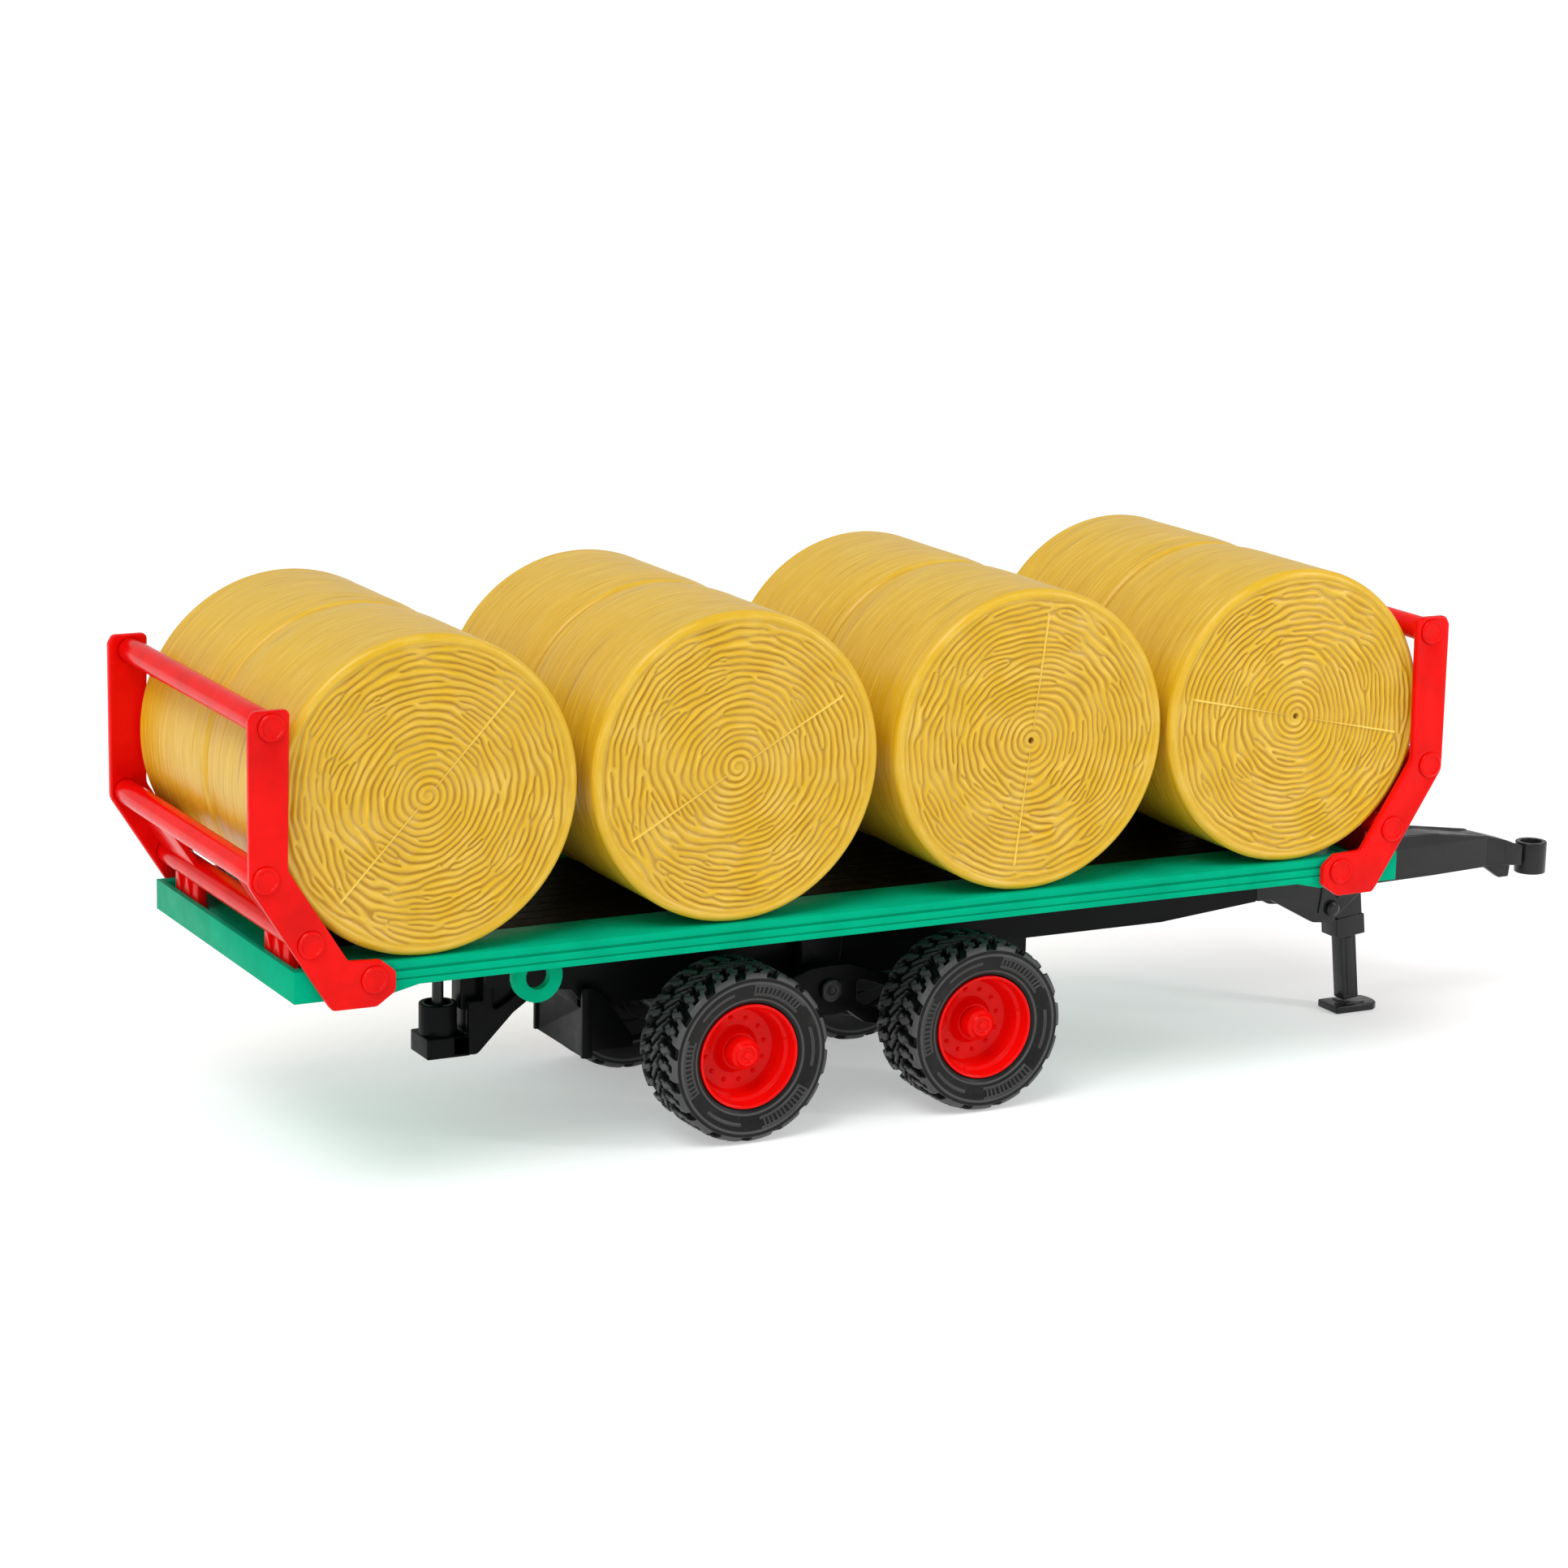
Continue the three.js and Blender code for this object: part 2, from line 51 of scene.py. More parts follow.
# ------------------------------------------------------------------ noise
class Noise:
    """Seeded gradient noise, about -1 to 1."""

    def __init__(self, seed):
        rng = np.random.default_rng(seed)
        self.p = np.tile(rng.permutation(256), 2)
        g = rng.normal(size=(256, 3))
        self.g = g / np.linalg.norm(g, axis=1)[:, None]

    def __call__(self, x, y, z):
        x, y, z = np.broadcast_arrays(x, y, z)
        xi, yi, zi = (np.floor(a).astype(int) for a in (x, y, z))
        xf, yf, zf = x - xi, y - yi, z - zi
        u, v, w = (t * t * t * (t * (t * 6 - 15) + 10) for t in (xf, yf, zf))

        def corner(i, j, k):
            h = self.p[(self.p[(self.p[(xi + i) & 255] + yi + j) & 255] + zi + k) & 255]
            g = self.g[h]
            return g[..., 0] * (xf - i) + g[..., 1] * (yf - j) + g[..., 2] * (zf - k)

        def mix(a, b, t):
            return a + t * (b - a)

        near = mix(mix(corner(0, 0, 0), corner(1, 0, 0), u), mix(corner(0, 1, 0), corner(1, 1, 0), u), v)
        far = mix(mix(corner(0, 0, 1), corner(1, 0, 1), u), mix(corner(0, 1, 1), corner(1, 1, 1), u), v)
        return mix(near, far, w) * 1.5


def smooth(t, a=0.0, b=1.0):
    t = np.clip((t - a) / (b - a), 0, 1)
    return t * t * (3 - 2 * t)


# ------------------------------------------------------------------ shape helpers: each returns (points, faces)
def fillet(points, radius, steps=5):
    """The closed outline with its corners rounded. radius is one number, or one for each corner."""
    p = np.asarray(points, float)
    n = len(p)
    radii = [radius] * n if np.isscalar(radius) else list(radius)
    out = []
    for i in range(n):
        a, b, c = p[i - 1], p[i], p[(i + 1) % n]
        ab, cb = a - b, c - b
        la, lc = np.linalg.norm(ab), np.linalg.norm(cb)
        ua, uc = ab / la, cb / lc
        half = math.acos(max(-1, min(1, float(ua @ uc)))) / 2
        r = radii[i]
        if r <= 0 or half > math.radians(88.5):
            out.append(b)
            continue
        t = min(r / math.tan(half), 0.45 * la, 0.45 * lc)
        r = t * math.tan(half)
        bis = ua + uc
        bis /= np.linalg.norm(bis)
        centre = b + bis * (r / math.sin(half))
        s, e = b + ua * t - centre, b + uc * t - centre
        a0, a1 = math.atan2(s[1], s[0]), math.atan2(e[1], e[0])
        d = (a1 - a0 + math.pi) % (2 * math.pi) - math.pi
        k = max(2, int(math.ceil(steps * abs(d) / (math.pi / 2))) + 1)
        for j in range(k):
            g = a0 + d * j / (k - 1)
            out.append(centre + r * np.array([math.cos(g), math.sin(g)]))
    return np.array(out)


def circle(a, b, r, n=48):
    t = (np.arange(n) + 0.5) * 2 * math.pi / n
    return np.c_[a + r * np.cos(t), b + r * np.sin(t)]


def area(p):
    return 0.5 * float(np.sum(p[:, 0] * np.roll(p[:, 1], -1) - np.roll(p[:, 0], -1) * p[:, 1]))


def inset(p, d):
    a, b = p - np.roll(p, 1, 0), np.roll(p, -1, 0) - p
    a /= np.linalg.norm(a, axis=1)[:, None]
    b /= np.linalg.norm(b, axis=1)[:, None]
    na, nb = np.c_[-a[:, 1], a[:, 0]], np.c_[-b[:, 1], b[:, 0]]
    return p + d * (na + nb) / np.maximum(0.35, 1 + np.sum(na * nb, axis=1))[:, None]


AXES = {
    "y": lambda uv, w: np.c_[uv[:, 0], np.full(len(uv), w), uv[:, 1]],
    "z": lambda uv, w: np.c_[uv, np.full(len(uv), w)],
    "x": lambda uv, w: np.c_[np.full(len(uv), w), uv],
}


def plate(outline, lo, hi, axis="y", r=0.5, holes=(), steps=3):
    """A slab from lo to hi along axis with that outline and holes, all its edges rounded to r."""
    loops = []
    for k, raw in enumerate([outline, *holes]):
        p = np.asarray(raw, float)
        if (area(p) > 0) != (k == 0):
            p = p[::-1]
        loops.append(p)
    place, co, faces, caps = AXES[axis], [], [], ([], [])
    levels = [(r * (1 - math.sin(a)), lo + r * (1 - math.cos(a))) for a in np.linspace(0, math.pi / 2, steps + 1)]
    levels += [(d, hi - (w - lo)) for d, w in levels[::-1]]
    base = 0
    for p in loops:
        n = len(p)
        for d, w in levels:
            co.append(place(inset(p, d) if d > 1e-9 else p, w))
        for k in range(len(levels) - 1):
            i = np.arange(n)
            a, b = base + k * n + i, base + k * n + (i + 1) % n
            faces += np.c_[a, b, b + n, a + n].tolist()
        caps[0].append((base, inset(p, levels[0][0])))
        caps[1].append((base + (len(levels) - 1) * n, inset(p, levels[-1][0])))
        base += n * len(levels)
    for c in caps:
        index = np.concatenate([np.arange(len(q)) + b for b, q in c])
        tris = tessellate_polygon([[Vector((x, y, 0)) for x, y in q] for b, q in c])
        faces += [[int(index[i]) for i in t] for t in tris]
    return np.concatenate(co), faces


def box(x0, x1, y0, y1, z0, z1, r=0.5, corner=None, axis="z"):
    """A block with rounded edges, its corners round about axis."""
    c = r if corner is None else corner
    rect = lambda a0, a1, b0, b1: fillet([[a0, b0], [a1, b0], [a1, b1], [a0, b1]], c, 4)
    if axis == "z":
        return plate(rect(x0, x1, y0, y1), z0, z1, "z", r)
    if axis == "y":
        return plate(rect(x0, x1, z0, z1), y0, y1, "y", r)
    return plate(rect(y0, y1, z0, z1), x0, x1, "x", r)


def turned(profile, at, axis="y", n=64, r=0.0, steps=3):
    """A closed profile of (radius, position along axis) turned about the axis through at."""
    p = np.asarray(profile, float)
    if r:
        p = fillet(p, [0 if a < 1e-6 else r for a, _ in p], steps)
    k, t = len(p), np.arange(n) * 2 * math.pi / n
    rr, ww = p[:, 0][:, None], np.repeat(p[:, 1][:, None], n, 1)
    u, v = rr * np.cos(t), rr * np.sin(t)
    co = {
        "y": np.stack([at[0] + u, at[1] + ww, at[2] + v], -1),
        "z": np.stack([at[0] + u, at[1] + v, at[2] + ww], -1),
        "x": np.stack([at[0] + ww, at[1] + u, at[2] + v], -1),
    }[axis].reshape(-1, 3)
    i, j = np.meshgrid(np.arange(k), np.arange(n), indexing="ij")
    a, b = i * n + j, i * n + (j + 1) % n
    c, d = ((i + 1) % k) * n + (j + 1) % n, ((i + 1) % k) * n + j
    keep = ~((p[:, 0] < 1e-6) & (np.roll(p[:, 0], -1) < 1e-6))
    quads = np.stack([a, b, c, d], -1)[keep].reshape(-1, 4)
    return co, quads.tolist()


def dome(at, radius, height, axis_sign=-1, n=14, rings=4):
    """A small rounded nub on a face that looks along Y."""
    prof = [(0, -height * 0.6)] + [(radius, -height * 0.6)]
    prof += [(radius * math.cos(a), height * math.sin(a)) for a in np.linspace(0, math.pi / 2, rings + 1)]
    prof[-1] = (0, height)
    co, faces = turned([(a, b * axis_sign) for a, b in prof], at, "y", n)
    return co, faces


def moved(part, matrix):
    co, faces = part
    m = np.array(matrix)
    return co @ m[:3, :3].T + m[:3, 3], faces


def mirrored(part, axis=1):
    co, faces = part
    co = co.copy()
    co[:, axis] *= -1
    return co, [f[::-1] for f in faces]


# ------------------------------------------------------------------ pieces
def piece(name, parts, material, body, replaces=(), sharp=38, attribute=None, bevel=None):
    """One object from those parts, riding on its body."""
    co, faces, base = [], [], 0
    for c, f in parts:
        co.append(c)
        faces += [[i + base for i in q] for q in f] if base else f
        base += len(c)
    co = np.concatenate(co) * MM
    co[:, 0] += SHIFT * MM
    mesh = bpy.data.meshes.new(name)
    mesh.from_pydata(co.tolist(), [], faces)
    if attribute is not None:
        a = mesh.attributes.new("relief_shading", "FLOAT", "POINT")
        a.data.foreach_set("value", np.asarray(attribute, np.float32))
        bm = bmesh.new()
        bm.from_mesh(mesh)
        if bm.calc_volume(signed=True) < 0:
            mesh.flip_normals()
        bm.free()
    else:
        bm = bmesh.new()
        bm.from_mesh(mesh)
        bmesh.ops.remove_doubles(bm, verts=bm.verts, dist=2e-7)
        bmesh.ops.recalc_face_normals(bm, faces=bm.faces)
        bm.to_mesh(mesh)
        bm.free()
    return finish_piece(name, mesh, material, body, replaces, sharp)


def finish_piece(name, mesh, material, body, replaces, sharp=38):
    mesh.polygons.foreach_set("use_smooth", np.ones(len(mesh.polygons), bool))
    if sharp:
        mesh.set_sharp_from_angle(angle=math.radians(sharp))
    mesh.materials.append(material)
    mesh.update()
    obj = bpy.data.objects.new(name, mesh)
    bpy.context.scene.collection.objects.link(obj)
    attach(obj, body)
    if replaces:
        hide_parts(*replaces)
    return obj


def refined(name, node, width, material, body, segments=2, angle=22, sharp=50, cuts=()):
    """The CAD node's shape with its edges rounded, as a new piece that stands for it.
    Each cut, an axis and a place, keeps a flat with openings in it as several plain outlines."""
    bm = bmesh.new()
    bm.from_mesh(NODES[node].data)
    bmesh.ops.remove_doubles(bm, verts=bm.verts, dist=3e-6)
    for axis, at in cuts:
        point, normal = [0.0] * 3, [0.0] * 3
        point[axis], normal[axis] = at * MM, 1.0
        bmesh.ops.bisect_plane(bm, geom=bm.verts[:] + bm.edges[:] + bm.faces[:], dist=1e-7, plane_co=point, plane_no=normal)
    loose = [e for e in bm.edges if not any(all(abs(v.co[axis] - at * MM) < 1e-6 for v in e.verts) for axis, at in cuts)]
    bmesh.ops.dissolve_limit(bm, angle_limit=math.radians(0.6), verts=bm.verts, edges=loose)
    edges = [e for e in bm.edges if len(e.link_faces) == 2 and e.calc_face_angle() > math.radians(angle)]
    bmesh.ops.bevel(bm, geom=edges, offset=width * MM, offset_type="OFFSET", segments=segments, profile=0.5,
                    affect="EDGES", clamp_overlap=True, miter_outer="ARC")
    bmesh.ops.recalc_face_normals(bm, faces=bm.faces)
    mesh = bpy.data.meshes.new(name)
    bm.to_mesh(mesh)
    bm.free()
    return finish_piece(name, mesh, material, body, [node], sharp)


# ------------------------------------------------------------------ materials
class Graph:
    def __init__(self, name):
        self.mat = bpy.data.materials.new(name)
        self.mat.use_nodes = True
        self.n, self.l = self.mat.node_tree.nodes, self.mat.node_tree.links
        self.n.clear()
        self.out = self.n.new("ShaderNodeOutputMaterial")
        self.bsdf = self.n.new("ShaderNodeBsdfPrincipled")
        self.l.new(self.bsdf.outputs[0], self.out.inputs[0])
        self.coord = self.n.new("ShaderNodeTexCoord").outputs["Object"]

    def set(self, **values):
        for k, v in values.items():
            self.bsdf.inputs[k.replace("_", " ")].default_value = v

    def noise(self, scale, detail=3.0, rough=0.55, stretch=None):
        t = self.n.new("ShaderNodeTexNoise")
        t.inputs["Scale"].default_value = scale
        t.inputs["Detail"].default_value = detail
        t.inputs["Roughness"].default_value = rough
        src = self.coord
        if stretch:
            m = self.n.new("ShaderNodeMapping")
            m.inputs["Scale"].default_value = stretch
            self.l.new(src, m.inputs["Vector"])
            src = m.outputs[0]
        self.l.new(src, t.inputs["Vector"])
        return t.outputs["Fac"]

    def ramp(self, src, stops):
        r = self.n.new("ShaderNodeValToRGB")
        e = r.color_ramp.elements
        while len(e) < len(stops):
            e.new(0.5)
        for el, (pos, col) in zip(e, stops):
            el.position = pos
            el.color = (*col, 1)
        self.l.new(src, r.inputs[0])
        return r.outputs[0]

    def span(self, src, a, b, lo=0.3, hi=0.7):
        m = self.n.new("ShaderNodeMapRange")
        m.inputs["From Min"].default_value, m.inputs["From Max"].default_value = lo, hi
        m.inputs["To Min"].default_value, m.inputs["To Max"].default_value = a, b
        self.l.new(src, m.inputs["Value"])
        return m.outputs[0]

    def mix(self, fac, a, b, kind="MIX"):
        m = self.n.new("ShaderNodeMix")
        m.data_type, m.blend_type = "RGBA", kind
        for k, v in ((0, fac), (6, a), (7, b)):
            if hasattr(v, "is_linked") or isinstance(v, bpy.types.NodeSocket):
                self.l.new(v, m.inputs[k])
            else:
                m.inputs[k].default_value = v if k == 0 else (*v, 1)
        return m.outputs[2]

    def math(self, op, a, b):
        m = self.n.new("ShaderNodeMath")
        m.operation = op
        for k, v in ((0, a), (1, b)):
            if isinstance(v, bpy.types.NodeSocket):
                self.l.new(v, m.inputs[k])
            else:
                m.inputs[k].default_value = v
        return m.outputs[0]

    def attribute(self, name):
        a = self.n.new("ShaderNodeAttribute")
        a.attribute_name = name
        return a.outputs["Fac"]

    def bump(self, height, strength, distance):
        b = self.n.new("ShaderNodeBump")
        b.inputs["Strength"].default_value = strength
        b.inputs["Distance"].default_value = distance
        self.l.new(height, b.inputs["Height"])
        self.l.new(b.outputs[0], self.bsdf.inputs["Normal"])

    def link(self, src, name):
        self.l.new(src, self.bsdf.inputs[name])


def srgb(r, g, b):
    f = lambda c: c / 12.92 if c <= 0.04045 else ((c + 0.055) / 1.055) ** 2.4
    return tuple(f(c / 255) for c in (r, g, b))


def scaled(c, k):
    return tuple(min(1, x * k) for x in c)


def moulded(name, colour, dark, light, rough, grain=2200, grain_depth=0.00003, streak=None, spec=0.5, worn=1.0):
    """Moulded plastic: slow colour drift from the melt, a fine spark-eroded grain, and uneven gloss."""
    g = Graph(name)
    slow = g.noise(38, 3, 0.6)
    flow = g.noise(150, 2, 0.5, streak or (1, 1, 1))
    base = g.ramp(slow, [(0.28, scaled(colour, dark)), (0.52, colour), (0.78, scaled(colour, light))])
    base = g.mix(g.span(flow, 0, 0.22), base, scaled(colour, dark * 0.92))
    fine = g.noise(grain, 2, 0.6)
    scuff = g.noise(420, 4, 0.7, (1, 0.25, 1))
    base = g.mix(g.span(scuff, 0, 0.10 * worn, 0.60, 0.72), base, scaled(colour, light * 1.35))
    g.link(base, "Base Color")
    rough_map = g.math("ADD", g.span(flow, rough - 0.05, rough + 0.05), g.span(scuff, 0.0, 0.12 * worn, 0.55, 0.75))
    g.link(rough_map, "Roughness")
    g.bump(g.math("ADD", fine, g.math("MULTIPLY", slow, 1.6)), 0.35, grain_depth)
    g.set(IOR=1.49, Specular_IOR_Level=spec)
    return g.mat


GREEN = moulded("green_plastic", (0.0006, 0.40, 0.21), 0.86, 1.1, 0.3, grain_depth=0.00001, streak=(0.3, 1, 1), spec=0.012, worn=0.3)
RED = moulded("red_plastic", (0.83, 0.003, 0.002), 0.8, 1.05, 0.2, grain=900, grain_depth=0.000002, spec=0.12, worn=0.0)
# painted shade: the black plastic under the deck is painted darker, with less gloss, than the same black plastic on the
# drawbar and jack, to stand for the shade under the deck
SHADED_BLACK = moulded("black_plastic", srgb(13, 13, 14), 0.8, 1.25, 0.36, grain=2600, grain_depth=0.00003, streak=(0.4, 1, 1), spec=0.08, worn=0.5)
SATIN = moulded("black_satin_plastic", srgb(33, 33, 34), 0.8, 1.2, 0.26, grain=2600, grain_depth=0.00002, spec=0.3, worn=0.4)


def tyre_material():
    g = Graph("tyre_rubber")
    slow, fine, dust = g.noise(60, 3, 0.6), g.noise(3000, 2, 0.5), g.noise(240, 4, 0.7)
    relief_shading = g.attribute("relief_shading")
    # painted shade and highlight from relief_shading: sunk grooves painted near black, the tread tops and the raised
    # rings and marks on the wall painted lighter
    base = g.ramp(relief_shading, [(0.0, srgb(12, 13, 13)), (0.45, srgb(20, 21, 21)), (0.74, srgb(84, 84, 84)), (1.0, srgb(60, 61, 61))])
    base = g.mix(g.span(slow, 0, 0.3), base, srgb(18, 19, 19))
    base = g.mix(g.span(dust, 0, 0.16, 0.55, 0.75), base, srgb(78, 79, 76))
    g.link(base, "Base Color")
    g.link(g.span(dust, 0.3, 0.44), "Roughness")
    g.bump(fine, 0.3, 0.00003)
    g.set(IOR=1.5, Specular_IOR_Level=0.18)
    return g.mat


def straw_material():
    g = Graph("straw_plastic")
    relief_shading = g.attribute("relief_shading")
    slow, flow, fine = g.noise(24, 3, 0.6), g.noise(90, 3, 0.6, (1, 7, 1)), g.noise(1900, 2, 0.6)
    valley, body, crest, line = srgb(166, 118, 6), srgb(217, 172, 18), srgb(234, 191, 42), srgb(238, 204, 92)
    # painted shade and highlight: relief_shading follows the height of the strands, so the valleys are painted darker
    # and the crests and parting line lighter
    base = g.ramp(relief_shading, [(0.05, valley), (0.42, scaled(body, 0.94)), (0.7, body), (0.86, crest), (1.0, line)])
    base = g.mix(g.span(slow, 0, 0.3), base, scaled(body, 0.88))
    base = g.mix(g.span(flow, 0, 0.14), base, scaled(crest, 1.04))
    lines = g.noise(700, 3, 0.6, (0.1, 1.6, 0.1))
    base = g.mix(g.span(lines, 0, 0.3, 0.45, 0.68), base, srgb(238, 208, 110))
    g.link(base, "Base Color")
    g.link(g.span(flow, 0.27, 0.4), "Roughness")
    g.bump(g.math("ADD", g.math("MULTIPLY", lines, 1.4), g.math("MULTIPLY", fine, 0.5)), 0.3, 0.00012)
    g.set(IOR=1.47, Specular_IOR_Level=0.5)
    return g.mat


def steel_material():
    g = Graph("plain_steel")
    slow, brush = g.noise(90, 3, 0.6), g.noise(900, 3, 0.6, (1, 0.12, 1))
    g.link(g.ramp(slow, [(0.3, (0.42, 0.43, 0.45)), (0.7, (0.58, 0.59, 0.61))]), "Base Color")
    g.link(g.span(brush, 0.24, 0.42), "Roughness")
    g.bump(brush, 0.25, 0.00002)
    g.set(Metallic=1.0)
    return g.mat


TYRE, STRAW, STEEL = tyre_material(), straw_material(), steel_material()


# ------------------------------------------------------------------ bales
def bale(name, x, side, hole, turn, seed, body, node):
    """A blow-moulded round bale. Its outer face is at side; turn is where the parting line points, in degrees."""
    noise, fine = Noise(seed), Noise(seed + 50)
    h, R = 39.0, BALE_R
    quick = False
    n = 150 if quick else 252
    t = np.arange(n) * 2 * math.pi / n
    extra = np.radians([-0.75, -0.3, 0.3, 0.75, 179.25, 179.7, 180.3, 180.75])
    t = np.sort(np.concatenate([t, extra % (2 * math.pi)]))
    n = len(t)
    start = 1.6 if hole else 0.35
    outer = np.concatenate([[start, start + 0.25], np.linspace(start + 0.8, 59.9, 80 if quick else 142)])
    inner = np.linspace(58.7, 0.4, 30)
    edge = np.linspace(0, math.pi / 2, 8)
    er, ey = 60.4 + 3.3 * np.sin(edge), -h + 3.3 * (1 - np.cos(edge))
    across = np.linspace(-h + 3.8, h - 3.8, 60 if quick else 100)
    rs = np.concatenate([outer, er, np.full(len(across), R), er[::-1], inner])
    ys = np.concatenate([np.full(len(outer), -h), ey, across, -ey[::-1], np.full(len(inner), h)])
    kind = np.concatenate([np.zeros(len(outer)), np.ones(8), np.full(len(across), 2), np.full(8, 3), np.full(len(inner), 4)])
    r, th = rs[:, None], t[None, :]
    cx, cz = r * np.cos(th), r * np.sin(th)

    def straw(shift):
        # long wavy strands wound round the middle: a warped one-start spiral
        warp = 1.5 * noise(cx / 21 + shift, cz / 21, r / 26) + 0.62 * noise(cx / 7.5, cz / 7.5 + shift, r / 17)
        warp = warp * smooth(r, 3, 18)
        phase = 2 * math.pi * (r + warp) / 2.9 + th
        # strands that start and end on the way round, each a pair of line ends
        rng = np.random.default_rng(seed * 10 + int(shift))
        for _ in range(58):
            rad = 9 + 48 * math.sqrt(rng.random())
            ang, length = rng.random() * 2 * math.pi, 8 + 24 * rng.random()
            da = length / rad
            drift = rng.normal() * 0.6
            x1, z1 = rad * math.cos(ang), rad * math.sin(ang)
            x2, z2 = (rad + drift) * math.cos(ang + da), (rad + drift) * math.sin(ang + da)
            w = 1 if rng.random() < 0.5 else -1
            phase = phase + w * (np.arctan2(cz - z1, cx - x1) - np.arctan2(cz - z2, cx - x2))
        rope = (0.5 + 0.5 * np.cos(phase)) ** 0.7
        streak = noise(cx / 12 + shift, cz / 12, (r + warp) / 1.3)
        fade = 0.8 + 0.2 * smooth(noise(cx / 13, cz / 13, r / 6 + shift), -0.4, 0.25)
        return np.clip(0.94 * rope * fade + 0.12 * streak, 0, 1.1)

    # relief_shading holds the painted shade and highlight for the straw colour: low in the valleys and grooves, high on
    # the crests and the parting line
    relief_shading = np.zeros((len(rs), n))
    drop = np.zeros((len(rs), n))
    for k, rise, shift in ((0, 1.15, 3.7), (4, 0.8, 9.1)):
        m = kind == k
        edge_in = smooth(59.7 - rs, 0, 1.6) * smooth(rs, start + 0.2, start + 2.6)
        s = straw(shift)[m] * edge_in[m][:, None] + 0.45 * (1 - edge_in[m][:, None])
        off = np.minimum(t % math.pi, math.pi - t % math.pi)
        line = np.where(off < math.radians(0.5), 1.0, 0.0)
        span = smooth(rs[m], 3, 5) * smooth(54 - rs[m], 0, 1.5)
        flat = np.minimum(np.abs(cz[m]), 2.2) / 2.2
        s = s * (0.7 + 0.3 * flat) + 0.12 * (1 - flat)
        ridge = span[:, None] * line[None, :]
        relief_shading[m] = np.clip(np.clip(s, 0, 1) * 0.85 + ridge, 0, 1)
        drop[m] = 1.25 - np.maximum(rise * s, ridge * 1.15)
    # fine lines round the barrel; their grooves also get painted shade
    m = kind == 2
    yy = ys[m][:, None]
    lines = noise(cx[m] / 34, cz[m] / 34, yy / 1.25) + 0.6 * fine(cx[m] / 24, cz[m] / 24, yy / 0.8)
    drop[m] = 0.14 + 0.13 * np.clip(lines, -1, 1)
    relief_shading[m] = 0.55 - 0.42 * np.clip(lines, -1, 1)
    relief_shading[kind == 1] = 0.58
    relief_shading[kind == 3] = 0.58
    face_sign = np.where(kind == 0, 1.0, np.where(kind == 4, -1.0, 0.0))[:, None]
    radial = np.where(m, 1.0, 0.0)[:, None]
    waist = np.where((kind == 2) | (kind == 3), 0.9 * smooth(ys, 20, 39), 0.0)[:, None]
    rr = r - radial * drop - waist
    y = ys[:, None] + face_sign * np.maximum(drop, 0.02)
    co = np.stack([rr * np.cos(th), y, rr * np.sin(th)], -1).reshape(-1, 3)
    i, j = np.meshgrid(np.arange(len(rs) - 1), np.arange(n), indexing="ij")
    a, b = i * n + j, i * n + (j + 1) % n
    faces = np.stack([a, b, b + n, a + n], -1).reshape(-1, 4).tolist()
    values = relief_shading.reshape(-1)
    last = (len(rs) - 1) * n
    tail = [[0, h - 0.5, 0]]
    faces += [[last + k, last + (k + 1) % n, len(co)] for k in range(n)]
    extra_values = [0.4]
    if hole:
        # the vent: a small sunk well
        ring1 = np.c_[1.25 * np.cos(t), np.full(n, -h + 0.9), 1.25 * np.sin(t)]
        ring2 = np.c_[1.1 * np.cos(t), np.full(n, -h + 5.0), 1.1 * np.sin(t)]
        at = len(co) + 1
        tail = np.concatenate([tail, ring1, ring2, [[0, -h + 5.0, 0]]])
        extra_values += [0.0] * (2 * n + 1)
        for k in range(n):
            q = (k + 1) % n
            faces.append([k, at + k, at + q, q])
            faces.append([at + k, at + n + k, at + n + q, at + q])
            faces.append([at + n + k, at + 2 * n, at + n + q])
    else:
        tail = np.concatenate([tail, [[0, -h + 0.45, 0]]])
        extra_values += [0.5]
        c = len(co) + 1
        faces += [[k, c, (k + 1) % n] for k in range(n)]
    co = np.concatenate([co, np.asarray(tail)])
    values = np.concatenate([values, extra_values])
    # turn about Y, put the outer face outwards, and move into place
    a = math.radians(turn)
    X, Z = co[:, 0] * math.cos(a) - co[:, 2] * math.sin(a), co[:, 0] * math.sin(a) + co[:, 2] * math.cos(a)
    Y = co[:, 1]
    if side > 0:
        X, Y = -X, -Y
    co = np.c_[X + x, Y + side * BALE_Y, Z + BALE_Z]
    obj = piece(name, [(co, faces)], STRAW, body, [node], sharp=0, attribute=values)
    return obj


PARTING = {("right", 1): 47, ("right", 2): 29, ("right", 3): 83, ("right", 4): -12,
           ("left", 1): 12, ("left", 2): 70, ("left", 3): -38, ("left", 4): 25}
for i, x in enumerate(BALE_X):
    for side, s in (("right", -1), ("left", 1)):
        k = i + 1
        hole = k >= 3
        obj = bale(f"straw_bale_{k}_{side}", x, s, hole, PARTING[(side, k)], 7 if hole else 8, f"bale_{k}_{side}", f"bale_{k}_{side}")

# ------------------------------------------------------------------ wheels
def curve_through(points, steps):
    """A smooth line through those points."""
    p = np.asarray(points, float)
    q = np.vstack([2 * p[0] - p[1], p, 2 * p[-1] - p[-2]])
    out = []
    for i in range(len(p) - 1):
        a, b, c, d = q[i:i + 4]
        for s in np.arange(steps) / steps:
            out.append(0.5 * ((2 * b) + (c - a) * s + (2 * a - 5 * b + 4 * c - d) * s**2 + (3 * b - a - 3 * c + d) * s**3))
    return np.array(out + [p[-1]])


